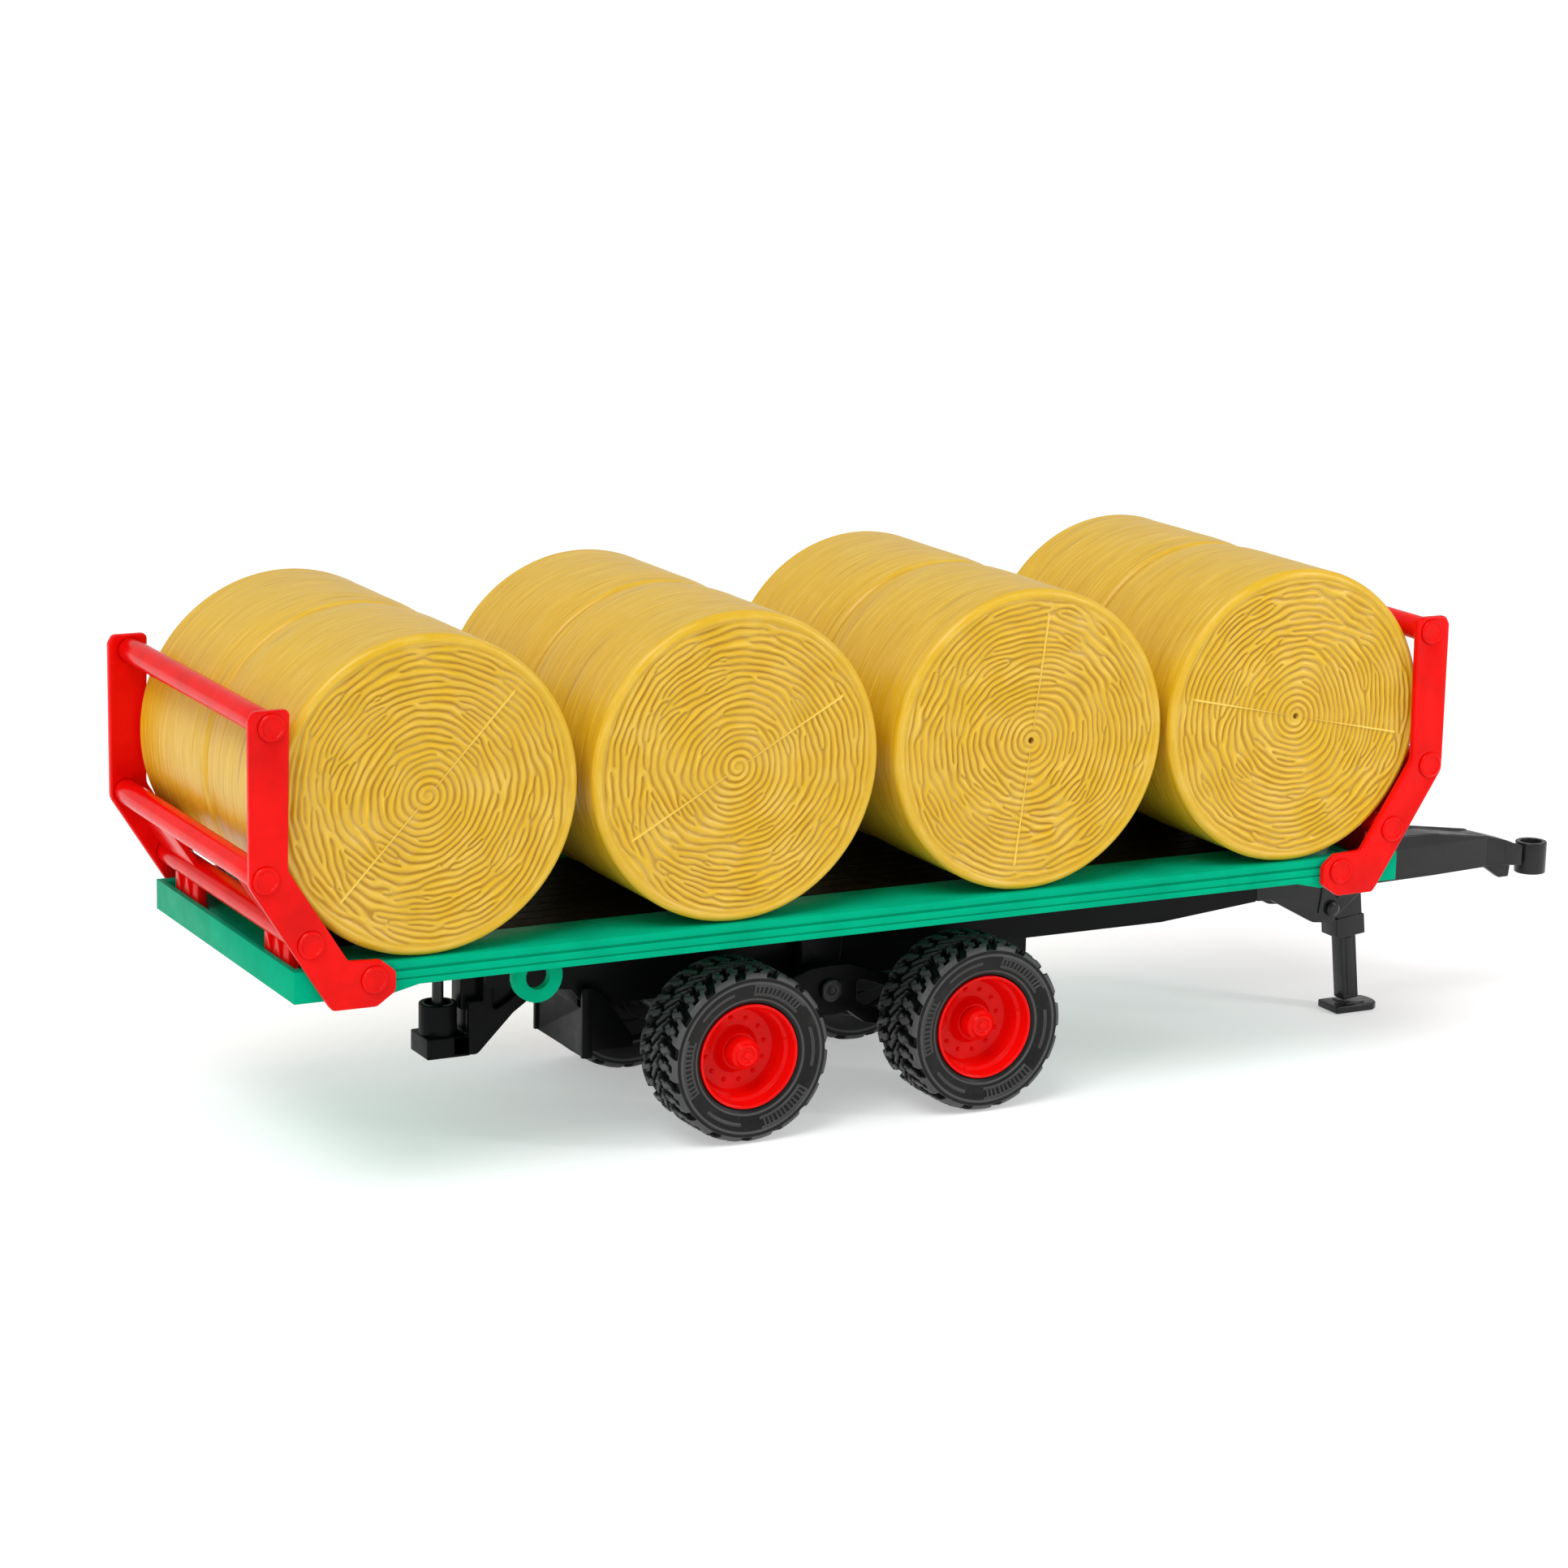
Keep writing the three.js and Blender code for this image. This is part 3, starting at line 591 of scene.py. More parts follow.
def tyre(name, x, side, turn, body, node):
    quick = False
    pitches, per = 15, (22 if quick else 38)
    n = pitches * per
    t = np.arange(n) * 2 * math.pi / n
    half = curve_through([(36.55, 0), (36.52, 5), (36.45, 9), (36.3, 12), (36.0, 13.9), (35.5, 15.2), (34.8, 16.0), (33.7, 16.4)], 4)
    seg = np.r_[0, np.cumsum(np.linalg.norm(np.diff(half, axis=0), axis=1))]
    total = seg[-1]
    m = 18 if quick else 30
    v = np.linspace(0, total, m)
    hr, hy = np.interp(v, seg, half[:, 0]), np.interp(v, seg, half[:, 1])
    tread_r = np.r_[hr[::-1], hr[1:]]
    tread_y = np.r_[-hy[::-1], hy[1:]]
    tread_v = np.r_[-v[::-1], v[1:]]
    wall = curve_through([(33.7, 16.4), (32.2, 16.5), (29.6, 16.3), (26.8, 15.6), (24.6, 14.9), (23.2, 14.2)], 6 if not quick else 4)[1:]
    bead = np.array([(22.9, 14.05), (22.45, 13.6), (22.35, 12.4)])
    out_r, out_y = np.r_[wall[:, 0], bead[:, 0]], np.r_[wall[:, 1], bead[:, 1]]
    rs = np.r_[tread_r, out_r, out_r[::-1]]
    ys = np.r_[tread_y, out_y, -out_y[::-1]]
    vs = np.r_[tread_v, np.full(len(out_r), total + 1), np.full(len(out_r), -total - 1)]
    p = (t * pitches / (2 * math.pi))[None, :]
    V = vs[:, None]
    tri = lambda q: 2 * np.abs(2 * (q - np.floor(q + 0.5))) - 1
    L = 2 * math.pi * 36.4 / pitches

    def gap(q, every, width):
        d = np.abs(((q / every + 0.5) % 1) - 0.5) * every * L
        return smooth(d, width - 0.2, width + 0.3)

    zig = 1.35 * tri(2 * p + 0.1)
    ribs = np.minimum(smooth(np.abs(V - 4.2 - zig), 0.75, 1.2), smooth(np.abs(V + 4.2 - zig), 0.75, 1.2))
    outer_q, inner_q, mid_q = p - 0.028 * V, p + 0.028 * V + 0.25, p + 0.075 * V + 0.13
    step = 0.045 * np.sign(np.sin(2 * math.pi * (V - 8.6) / 9.0))
    shoulder = np.where(V > 0, np.minimum(gap(outer_q + step, 1.0, 2.3), gap(outer_q + step + 0.5, 1.0, 1.3)),
                        np.minimum(gap(inner_q - step, 1.0, 2.3), gap(inner_q - step + 0.5, 1.0, 1.3)))
    small_end = np.where(np.abs(V) > 15.0, 1.0, 0.0)
    big_only = np.where(V > 0, gap(outer_q + step, 1.0, 2.3), gap(inner_q - step, 1.0, 2.3))
    shoulder = np.where(small_end > 0, big_only, shoulder)
    centre = gap(mid_q, 0.5, 1.0)
    mask = np.where(np.abs(V - zig) < 4.2, centre, shoulder)
    mask = np.minimum(mask, ribs)
    mask = np.where(np.abs(V) > total - 0.5, 1.0, mask)
    depth = 2.9 * (1 - 0.45 * smooth(np.abs(V), 13.5, total - 0.6))
    sink = (1 - mask) * depth
    # shallow steps on the lugs
    sink = sink + np.where(mask > 0.9, 0.28 * (smooth(tri(4 * p + 0.12 * V), 0.35, 0.6)), 0) * (np.abs(V) < 13)
    lift = np.zeros_like(sink)
    side_wall = np.zeros(len(rs), bool)
    side_wall[len(tread_r):len(tread_r) + len(out_r)] = True
    ring = np.exp(-((rs - 31.7) / 0.4) ** 2) * 0.26 + np.exp(-((rs - 24.4) / 0.35) ** 2) * 0.26
    deg = np.degrees(t)[None, :] % 360
    block = ((deg > 25) & (deg < 73)) | ((deg > 145) & (deg < 193)) | ((deg > 265) & (deg < 313))
    bar = (np.abs(rs - 28.6) < 1.5)[:, None] & ((deg % 4.0) < 1.1) & block
    bar = bar | ((np.abs(np.abs(rs - 28.6) - 2.1) < 0.3)[:, None] & block)
    bar = bar | ((np.abs(rs - 28.6) < 0.45)[:, None] & (((deg > 92) & (deg < 126)) | ((deg > 212) & (deg < 246)) | ((deg > 332) | (deg < 6))))
    lift[side_wall] = ring[side_wall][:, None] + 0.34 * bar[side_wall]
    mirror = np.zeros(len(rs), bool)
    mirror[len(tread_r) + len(out_r):] = True
    lift[mirror] = ring[mirror][:, None]
    # sink towards the middle of the section, lift outwards along Y
    nr = np.where(np.abs(vs) <= total, np.cos(np.clip((np.abs(vs) - 11.5) / 6, 0, 1) * math.pi / 2.6), 0)[:, None]
    ny = np.where(np.abs(vs) <= total, np.sin(np.clip((np.abs(vs) - 11.5) / 6, 0, 1) * math.pi / 2.6), 1)[:, None] * np.sign(ys)[:, None]
    rr = rs[:, None] - sink * nr
    yy = ys[:, None] - sink * ny + lift * np.sign(ys)[:, None]
    ang = t[None, :] + math.radians(turn)
    co = np.stack([x + rr * np.cos(ang), side * (57.4 + yy), WHEEL_Z + rr * np.sin(ang)], -1).reshape(-1, 3)
    k = len(rs)
    i, j = np.meshgrid(np.arange(k), np.arange(n), indexing="ij")
    a, b = i * n + j, i * n + (j + 1) % n
    c, d = ((i + 1) % k) * n + (j + 1) % n, ((i + 1) % k) * n + j
    quads = np.stack([a, b, c, d], -1).reshape(-1, 4)
    if side > 0:
        quads = quads[:, ::-1]
    # painted shade in the sunk grooves and painted highlight on the tread tops and raised marks, kept in relief_shading
    relief_shading = np.clip(1 - sink / 1.4, 0, 1) * np.where(np.abs(vs) <= total, 0.75, 0.45)[:, None] + lift * 1.6
    obj = piece(name, [(co, quads.tolist())], TYRE, body, [node], sharp=0, attribute=relief_shading.reshape(-1))
    obj.data.set_sharp_from_angle(angle=math.radians(32))
    return obj


RIM = [(3.4, 47), (8, 47), (8, 54.0), (19.2, 55.0), (19.7, 44.4), (21.9, 44.3), (22.2, 45.2), (22.1, 71.2), (22.2, 71.8),
       (21.6, 71.95), (20.9, 71.6), (20.3, 66.6), (18.9, 65.6), (18.2, 60.6), (16.9, 58.5),
       (10.2, 57.9), (8.9, 58.8), (7.7, 62.9), (3.4, 62.9)]
CAP = [(0, 69.9), (1.35, 69.9), (1.7, 69.2), (2.9, 69.2), (3.4, 70.1), (4.4, 70.1), (4.9, 69.2), (6.3, 68.2), (7.1, 63.4), (3.6, 63.4), (3.6, 66.8), (0, 66.8)]
for end, e in (("front", 1), ("rear", -1)):
    for name, s in (("right", -1), ("left", 1)):
        body = f"wheel_{end}_{name}"
        tyre(f"tread_tyre_{end}_{name}", e * AXLE_X, s, {1: 4, -1: 15}[e] + (7 if s > 0 else 0), body, f"tyre_{end}_{name}")
        at = (e * AXLE_X, 0, WHEEL_Z)
        flip = lambda prof: [(r, s * y) for r, y in prof]
        parts = [turned(flip(RIM), at, "y", 96, 0.35)]
        for k in range(12):
            a = 2 * math.pi * (k + 0.3) / 12
            parts.append(dome((at[0] + 13.4 * math.cos(a), s * 58.1, at[2] + 13.4 * math.sin(a)), 1.0, 1.3, s))
        for k in range(3):
            a = 2 * math.pi * (k + 0.1) / 3
            parts.append(dome((at[0] + 19.6 * math.cos(a), s * 66.0, at[2] + 19.6 * math.sin(a)), 0.55, 0.6, s))
        piece(f"dished_rim_{end}_{name}", parts, RED, body, [f"rim_{end}_{name}"])
        drum = [(8.45, 42.75), (12, 42.75), (12.3, 43.3), (14.6, 43.3), (14.9, 42.75), (20.5, 42.75), (21.85, 43.4), (21.85, 43.95),
                (18.9, 44.1), (18.9, 48.4), (18.5, 48.6),
                (18.5, 49.4), (18.9, 49.6), (18.9, 50.8), (18.5, 51.0), (18.5, 51.8), (18.9, 52.0), (18.9, 53.2), (8.45, 53.2)]
        piece(f"drum_{end}_{name}", [turned(flip(drum), at, "y", 64)], SHADED_BLACK, body, [f"brake_drum_{end}_{name}"])
        piece(f"hub_{end}_{name}", [turned(flip(CAP), at, "y", 56, 0.3)], RED, body, [f"hub_cap_{end}_{name}"])

# ------------------------------------------------------------------ end gates
ARM = [[258, 199.5], [272.5, 199.5], [274.5, 196], [274.5, 131.5], [243, 82], [241, 79.6], [223, 79.5], [215, 85], [215, 93],
       [221, 98], [234.5, 98.7], [259, 137]]
ARM_R = [2.2, 2.2, 2.2, 5, 3, 2, 3, 3, 3, 3, 2.5, 5]
BARS = {"low": (250, 107), "mid": (268, 134), "top": (265.4, 193)}
for end, e in (("front", 1), ("rear", -1)):
    X = lambda pts: [[e * a, b] for a, b in pts]
    for name, s in (("left", 1), ("right", -1)):
        y0, y1 = (80.3, 83.7) if s > 0 else (-83.7, -80.3)
        holes = [circle(e * a, b, 5.0, 48) for a, b in [*BARS.values(), (224, 90.5)]]
        parts = [plate(fillet(X(ARM), ARM_R), y0, y1, "y", 0.75, holes)]
        # foot boss
        parts.append(turned([(0, s * 80.35), (5.05, s * 80.35), (5.05, s * 83.6), (5.5, s * 83.65), (5.5, s * 84.3), (4.85, s * 84.95), (4.2, s * 84.95), (3.7, s * 84.4), (0, s * 84.4)], (e * 224, 0, 90.5), "y", 48, 0.25))
        # web between the two lower bars
        (lx, lz), (mx, mz) = BARS["low"], BARS["mid"]
        d = math.hypot(mx - lx, mz - lz)
        nx, nz = (mz - lz) / d, -(mx - lx) / d
        ux, uz = (mx - lx) / d, (mz - lz) / d
        quad = [[lx - 1.3 * nx + 4.9 * ux, lz - 1.3 * nz + 4.9 * uz], [mx - 1.3 * nx - 4.9 * ux, mz - 1.3 * nz - 4.9 * uz],
                [mx + 1.3 * nx - 4.9 * ux, mz + 1.3 * nz - 4.9 * uz], [lx + 1.3 * nx + 4.9 * ux, lz + 1.3 * nz + 4.9 * uz]]
        w0, w1 = (37, 81) if s > 0 else (-81, -37)
        parts.append(plate(X(quad), w0, w1, "y", 0.5))
        piece(f"gate_{end}_side_{name}", parts, RED, "chassis", [f"gate_{end}_arm_{name}"])
    for level, (a, b) in BARS.items():
        half = [(0, 84.4), (3.7, 84.4), (4.2, 84.95), (4.85, 84.95), (5.5, 84.3), (5.5, 83.72), (4.95, 83.68), (4.95, 80.2), (5.2, 80.15), (5.2, 60)]
        prof = half + [(r, -y) for r, y in half][::-1]
        parts = [turned(prof, (e * a, 0, b), "y", 48, 0.15)]
        if level == "low":
            for s in (1, -1):
                y0, y1 = (38.5, 65.5) if s > 0 else (-65.5, -38.5)
                tab = fillet(X([[248.2, 104], [248.2, 90.2], [249.0, 88.6], [250.8, 88.6], [251.6, 90.2], [252.4, 94], [252.4, 104]]), 0.6, 3)
                parts.append(plate(tab, y0, y1, "y", 0.5))
                for q in (0.3, 0.7):
                    yc = y0 + (y1 - y0) * q
                    parts.append(plate(fillet(X([[252.2, 103], [252.2, 95], [253.4, 97], [254.3, 104]]), 0.3, 3), yc - 1.0, yc + 1.0, "y", 0.3))
        piece(f"gate_{end}_tube_{level}", parts, RED, "chassis", [f"gate_{end}_bar_{level}"])

# ------------------------------------------------------------------ deck
refined("deck_moulding", "deck_platform", 0.28, GREEN, "chassis", segments=2,
        cuts=[(0, SHIFT + 3.7), (0, SHIFT - 120.3), (0, SHIFT + 120.3), (1, 0.0)])
# floor panel: narrow boards with joints between them, black as painted shade for the deep shade on the deck between the
# bales
parts = []
count = 10
pw = 2 * 49.7 / count
parts.append(box(-227.7, 227.7, -49.7, 49.7, 93.3, 95.0, 0.3, 1.0))
for k in range(count):
    y0 = -49.7 + k * pw
    parts.append(box(-227.6, 227.6, y0 + 0.25, y0 + pw - 0.25, 94.6, 95.55, 0.3, 0.8))
piece("floor_boards", parts, SHADED_BLACK, "chassis", ["deck_floor_panel"])

# ------------------------------------------------------------------ chassis
refined("spine_channel", "chassis_spine", 0.5, SHADED_BLACK, "chassis")


def screw(x, name, node):
    cross = [[0.5, 1.9], [0.5, 0.5], [1.9, 0.5], [1.9, -0.5], [0.5, -0.5], [0.5, -1.9], [-0.5, -1.9], [-0.5, -0.5], [-1.9, -0.5], [-1.9, 0.5], [-0.5, 0.5], [-0.5, 1.9]]
    head = plate(circle(x, 0, 3.4, 40), 77.2, 79.0, "z", 0.5, [np.array(cross) + [x, 0]])
    cap = turned([(0, 78.2), (3.35, 78.2), (3.35, 79.3), (0, 79.3)], (x, 0, 0), "z", 40)
    shank = turned([(0, 79.0), (1.5, 79.0)] + [(1.5 if k % 2 else 1.2, 79.4 + 0.5 * k) for k in range(19)] + [(0, 89.6)], (x, 0, 0), "z", 20)
    piece(name, [head, cap, shank], STEEL, "chassis", [node])


screw(-95, "screw_rear", "deck_screw_rear")
screw(95, "screw_front", "deck_screw_front")

# drawbar: two webs under a top plate, which closes to the neck
outline = [[150, 70], [290, 61.2], [298, 60.5], [328, 61.2], [358, 62.4], [358, 77], [326, 81.4], [290.4, 81.6], [290.4, 79.2], [150, 79.2]]
web_r = [1, 3, 3, 1, 1, 1.5, 8, 0.5, 0.5, 1]
parts = []
for s in (1, -1):
    y0, y1 = (6.2, 9) if s > 0 else (-9, -6.2)
    parts.append(plate(fillet(outline, web_r), y0, y1, "y", 0.55))
parts.append(plate(fillet([[152, 76.8], [325, 76.8], [356, 71.5], [357.4, 76.4], [326, 80.9], [291, 81.1], [290.9, 78.9], [152, 78.9]], 0.4, 3), -7.4, 7.4, "y", 0.4))
parts.append(plate(fillet([[159, 71], [290, 62.6], [340, 62.2], [340, 77], [159, 77]], 0.5), -1.2, 1.2, "y", 0.4))
for x0 in (200, 240, 300, 338):
    parts.append(box(x0 - 1, x0 + 1, -7, 7, 68 if x0 < 230 else 63.4, 78, 0.3, axis="y"))
neck = fillet([[350, 62.4], [371.8, 60.9], [371.8, 73.0], [357, 77.1], [350, 77.4]], [0.5, 0.5, 0.5, 2, 0.5])
parts.append(plate(neck, -5, 5, "y", 0.7))
for s in (1, -1):
    y0, y1 = (2.95, 5) if s > 0 else (-5, -2.95)
    parts.append(plate(fillet([[371, 61.1], [381.6, 59.9], [381.6, 69.3], [379.6, 70.1], [371, 73.0]], 0.6), y0, y1, "y", 0.6))
parts.append(box(371, 382.2, -3.4, 3.4, 60.2, 62.8, 0.4, axis="y"))
parts.append(plate(fillet([[371, 67.1], [382.2, 67.1], [382.2, 68.9], [380, 69.7], [371, 72.6]], 0.4), -3.4, 3.4, "y", 0.4))
parts.append(plate(fillet([[357, 64.5], [363, 60], [371, 54.5], [376.5, 54.5], [377.4, 63.0]], [0.5, 6, 1, 1, 0.5]), -2, 2, "y", 0.5))
parts.append(box(326.6, 329.4, -1.4, 1.4, 59.9, 62.5, 0.5))
parts.append(box(288.6, 291.2, -9.05, 9.05, 78.4, 81.9, 0.5, axis="y"))
piece("drawbar_beam", parts, SATIN, "chassis", ["drawbar"])
eye = turned([(5.0, 55.2), (7.34, 55.2), (7.34, 70), (5.0, 70)], (390, 0, 0), "z", 72, 0.5)
shank = box(372.7, 383.4, -2.55, 2.55, 63.25, 66.55, 0.4, axis="x")
piece("towing_eye", [eye, shank], SATIN, "chassis", ["drawbar_eye"])

# jack bracket
cheek = [[224, 61.8], [232.2, 61.4], [255.2, 48.9], [264.5, 47.9], [268.5, 50.6], [279.7, 60.0], [289, 68.5], [289, 82.6], [224, 82.6]]
cheek_r = [1, 4, 4, 3, 3, 6, 3, 0.8, 0.8]
pin = (264.9, 54.7)
parts = []
for s in (1, -1):
    y0, y1 = (16, 20) if s > 0 else (-20, -16)
    parts.append(plate(fillet(cheek, cheek_r), y0, y1, "y", 0.6, [circle(*pin, 2.8, 32)]))
    z0, z1 = (19.6, 20.75) if s > 0 else (-20.75, -19.6)
    parts.append(plate(fillet([[257.2, 53], [259.4, 53], [261.4, 62], [261.4, 80], [258.6, 80], [258.6, 62]], 0.6, 3), z0, z1, "y", 0.4))
    parts.append(plate(fillet([[266.5, 60.6], [268, 58.8], [287, 76.5], [285.6, 78.2]], 0.4, 3), z0, z1, "y", 0.4))
parts.append(box(224.5, 262, -17, 17, 79.8, 82.5, 0.5, axis="y"))
for s in (1, -1):
    y0, y1 = (9.6, 17) if s > 0 else (-17, -9.6)
    parts.append(box(280.3, 288.7, y0, y1, 66.5, 82.4, 0.5, axis="y"))
piece("jack_yoke", parts, SATIN, "chassis", ["jack_bracket"])
prof = [(0, -22.3), (2.1, -22.3), (3.4, -21.4), (3.4, -20.5), (2.4, -20.5), (2.4, 20.5), (3.4, 20.5), (3.4, 21.4), (2.1, 22.3), (0, 22.3)]
piece("jack_hinge_pin", [turned(prof, (pin[0], 0, pin[1]), "y", 40, 0.25)], SATIN, "chassis", ["jack_pivot_pin"])

lean = Matrix.Translation((pin[0], 0, pin[1])) @ Matrix.Rotation(math.radians(-6), 4, "Y") @ Matrix.Translation((-pin[0], 0, -pin[1]))
housing = []
for s in (1, -1):
    y0, y1 = (4.4, 6.0) if s > 0 else (-6.0, -4.4)
    housing.append(box(277.2, 290.6, y0, y1, 36.5, 57, 0.4, axis="y"))
    y0, y1 = (4.9, 6.7) if s > 0 else (-6.7, -4.9)
    housing.append(box(276.4, 291.4, y0, y1, 34.2, 43.6, 0.45, axis="y"))
for x0, x1 in ((277.2, 279.4), (288.6, 290.6)):
    housing.append(box(x0, x1, -5.6, 5.6, 36.5, 57, 0.4))
for x0, x1 in ((276.4, 279.0), (289.0, 291.4)):
    housing.append(box(x0, x1, -6.3, 6.3, 34.2, 43.6, 0.45))
housing.append(box(278, 290, -5.4, 5.4, 55, 57, 0.4))
lug = fillet([[260.6, 52], [264, 50], [278.6, 45], [278.6, 57], [266, 59], [262.4, 58.6], [260.6, 57]], [2, 3, 1, 1, 3, 2, 2])
housing.append(plate(lug, -6, 6, "y", 0.6, [circle(*pin, 2.75, 32)]))
piece("jack_sleeve", [moved(h, lean) for h in housing], SATIN, "jack", ["jack_housing"])
leg = [moved(box(279.8, 288.2, -4, 4, 3.2, 40, 0.7), lean)]
for s in (1, -1):
    leg.append(moved(box(282.2, 285.8, *((3.6, 4.35) if s > 0 else (-4.35, -3.6)), 5.5, 33, 0.3, axis="y"), lean))
foot = [[279, -8], [299, -8], [302, -6], [303.2, -2], [303.2, 2], [302, 6], [299, 8], [279, 8]]
leg.append(plate(fillet(foot, [1.2, 2, 3, 3, 3, 3, 2, 1.2]), 0, 3.4, "z", 0.6))
leg.append(plate(fillet([[285.0, -5.4], [296.5, -5.4], [296.5, 5.4], [285.0, 5.4]], 1.2), 2.9, 4.0, "z", 0.5))
piece("jack_post", leg, SATIN, "jack_foot", ["jack_leg"])

# ------------------------------------------------------------------ rear hitch and guard plate
arm = [[-160, 32.2], [-149, 31.5], [-133, 47.6], [-112, 62], [-112, 79.3], [-146.4, 79.3], [-146.4, 54.5], [-153, 54.5], [-153, 40.2], [-160, 40.2]]
arm_r = [0.5, 3, 4, 3, 0.8, 0.8, 0.8, 1, 1, 0.5]
inner = fillet([[-142, 49.5], [-136, 52.5], [-117.5, 65.4], [-117.5, 75], [-142, 75]], 1.2, 3)
parts = [plate(fillet(arm, arm_r), *q, "y", 0.6, [inner]) for q in ((5.6, 9.3), (-9.3, -5.6))]
parts.append(plate(fillet(arm, arm_r), -6.2, 6.2, "y", 0.5, []))
foot = fillet([[-171.2, -9.3], [-152, -9.3], [-152, 9.3], [-171.2, 9.3]], [0.8, 0.8, 0.8, 0.8])
parts.append(plate(foot, 31.4, 40.2, "z", 0.6, [circle(-162.9, 0, 2.9, 32)]))
parts.append(turned([(5.6, 39.4), (7.9, 39.4), (7.9, 53.2), (5.6, 53.2)], (-162.9, 0, 0), "z", 64, 0.5))
parts.append(box(-154.8, -146, -5, 5, 50, 79.2, 0.6))
piece("tow_socket", parts, SHADED_BLACK, "chassis", ["rear_hitch_bracket"])
prof = [(0, 32), (1.7, 32), (2.4, 33.2), (2.4, 40.7), (4.7, 40.9), (4.7, 42.8), (2.4, 43.1), (2.4, 62.5), (1.9, 63.2), (1.9, 64.4), (2.4, 65),
        (2.4, 66), (4.1, 66.2), (4.1, 68.4), (3.0, 69), (0, 69)]
piece("tow_pin", [turned(prof, (-162.9, 0, 0), "z", 40, 0.25)], SATIN, "hitch_pin", ["rear_hitch_pin"])
refined("rear_guard", "rear_guard_plate", 0.4, SHADED_BLACK, "chassis")

# ------------------------------------------------------------------ bogie
for name, s in (("left", 1), ("right", -1)):
    y0, y1 = (20.3, 28.3) if s > 0 else (-28.3, -20.3)
    outline = [[-11, 79], [11, 79], [7.5, 46], [4.5, 43.4], [-4.5, 43.4], [-7.5, 46]]
    parts = [plate(fillet(outline, [0.6, 0.6, 3, 2, 2, 3]), y0, y1, "y", 0.6, [circle(0, 50, 3.3, 32)])]
    piece(f"hanger_{name}", parts, SHADED_BLACK, "chassis", [f"bogie_hanger_{name}"])
    a, b = (20.5, 38.9) if s > 0 else (-20.5, -38.9)
    prof = [(0, a), (2.7, a), (3.0, a + 0.4 * s), (3.0, 37 * s), (4.9, 37 * s), (4.9, b - 0.5 * s), (4.2, b), (2.0, b), (1.7, b - 0.5 * s), (0, b - 0.5 * s)]
    piece(f"pivot_{name}", [turned(prof, (0, 0, 50), "y", 40, 0.15)], SATIN, "bogie", [f"bogie_pivot_pin_{name}"])
half = [[0, 60.5], [9, 60], [17, 57.2], [30, 52], [44, 48]]
ringp = [[AXLE_X + 10 * math.cos(a), WHEEL_Z + 10 * math.sin(a)] for a in np.radians(np.linspace(120, -115, 16))]
under = [[46, 29.6], [30, 31], [17, 33.6], [9, 39.6], [4, 38.6]]
right = half + ringp + under[1:]
beam = right + [[-a, b] for a, b in right[1:]][::-1]
window = fillet([[13, 53.2], [21, 50.8], [42, 42.4], [42, 36], [21, 38.2], [13, 44]], 1.6, 3)
bolts = [circle(0, 50, 3.3, 32), circle(AXLE_X, WHEEL_Z, 3.3, 32), circle(-AXLE_X, WHEEL_Z, 3.3, 32)]
parts = []
for s in (1, -1):
    y0, y1 = (28.7, 36.7) if s > 0 else (-36.7, -28.7)
    parts.append(plate(fillet(beam, 0.8, 2), y0, y1, "y", 0.5, [window, window * [-1, 1], *bolts]))
parts.append(box(-9, 9, -29.5, 29.5, 38.8, 42, 0.5, axis="y"))
parts.append(box(-1.5, 1.5, -29.5, 29.5, 34.6, 39.4, 0.5, axis="y"))
piece("bogie_beams", parts, SHADED_BLACK, "bogie", ["bogie_frame"])
for name, e in (("front", 1), ("rear", -1)):
    prof = [(0, -67), (2.5, -67), (3.0, -66.4), (3.0, 66.4), (2.5, 67), (0, 67)]
    piece(f"axle_rod_{name}", [turned(prof, (e * AXLE_X, 0, WHEEL_Z), "y", 32)], STEEL, "bogie", [f"axle_{name}"])

# ------------------------------------------------------------------ floor, light and camera
def floor():
    mesh = bpy.data.meshes.new("studio_floor")
    bm = bmesh.new()
    bmesh.ops.create_grid(bm, x_segments=24, y_segments=24, size=30)
    bm.to_mesh(mesh)
    bm.free()
    g = Graph("floor_paint")
    g.link(g.ramp(g.noise(2.0, 2, 0.5), [(0.3, (0.70, 0.70, 0.703)), (0.7, (0.715, 0.715, 0.718))]), "Base Color")
    # the table top is lit from beneath as well
    g.set(Roughness=0.9, Specular_IOR_Level=0.0, Emission_Color=(1, 1, 1, 1), Emission_Strength=0.4)
    mesh.materials.append(g.mat)
    obj = bpy.data.objects.new("studio_floor", mesh)
    obj.location = (0, 10, -0.0002)
    bpy.context.scene.collection.objects.link(obj)


floor()


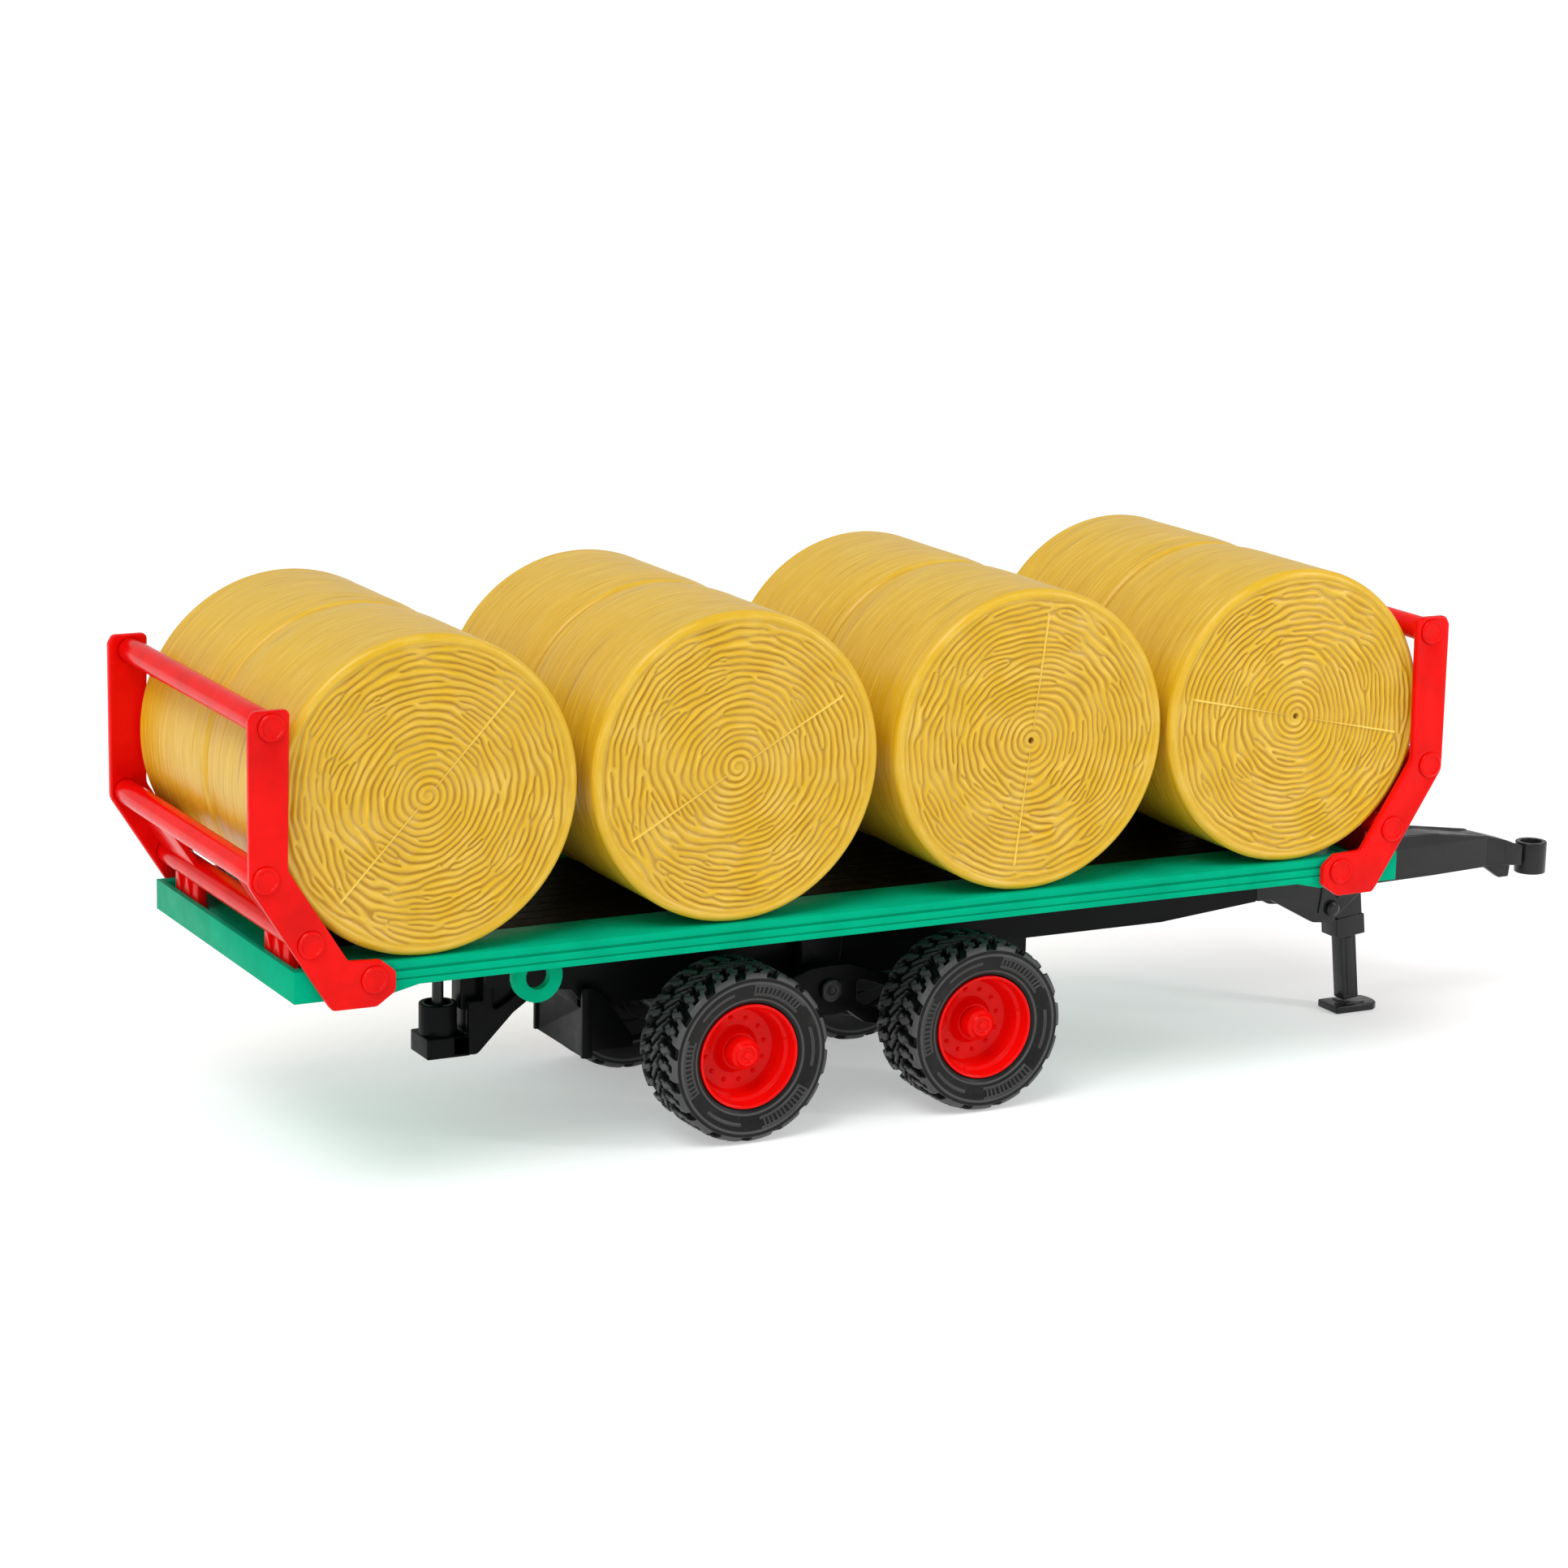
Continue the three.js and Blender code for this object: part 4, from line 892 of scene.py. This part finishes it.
def lamp(name, place, target, size, power, colour=(1, 1, 1), spread=180):
    data = bpy.data.lights.new(name, "AREA")
    data.shape, data.size, data.size_y = "RECTANGLE", size[0], size[1]
    data.energy, data.color, data.spread = power, colour, math.radians(spread)
    obj = bpy.data.objects.new(name, data)
    obj.location = place
    obj.rotation_mode = "QUATERNION"
    obj.rotation_quaternion = (Vector(target) - Vector(place)).to_track_quat("-Z", "Y")
    bpy.context.scene.collection.objects.link(obj)


world = bpy.data.worlds.new("studio")
world.use_nodes = True
world.node_tree.nodes["Background"].inputs["Color"].default_value = (1, 1, 1, 1)
world.node_tree.nodes["Background"].inputs["Strength"].default_value = 0.6
bpy.context.scene.world = world
sun = bpy.data.lights.new("ceiling_bank", "SUN")
sun.energy, sun.angle = 1.45, math.radians(30)
sun_obj = bpy.data.objects.new("ceiling_bank", sun)
sun_obj.rotation_mode = "QUATERNION"
sun_obj.rotation_quaternion = Vector((0.5, 0.35, -1.0)).to_track_quat("-Z", "Y")
bpy.context.scene.collection.objects.link(sun_obj)
lamp("left_softbox", (-1.7, -1.0, 0.9), (0, 0, 0.12), (0.14, 1.1), 4)
lamp("right_softbox", (1.1, -1.0, 0.8), (0.2, 0, 0.12), (0.14, 0.9), 6)

cam_data = bpy.data.cameras.new("camera")
cam_data.sensor_width = 36.0
cam_data.lens = 5230.41 / 1932 * 36.0
cam_data.clip_start, cam_data.clip_end = 0.05, 200
cam = bpy.data.objects.new("camera", cam_data)
right_v, up_v, fwd = (0.88932694, -0.45684061, 0.01985596), (0.08411451, 0.20611778, 0.97490523), (0.44946896, 0.86533931, -0.22173301)
rot = Matrix([right_v, up_v, [-c for c in fwd]]).transposed()
cam.matrix_world = Matrix.Translation((-0.812294 + SHIFT * MM, -1.554703, 0.529635)) @ rot.to_4x4()
bpy.context.scene.collection.objects.link(cam)
bpy.context.scene.camera = cam
bpy.context.scene.view_settings.view_transform = "Standard"
bpy.context.scene.view_settings.look = "None"

bpy.context.view_layer.update()
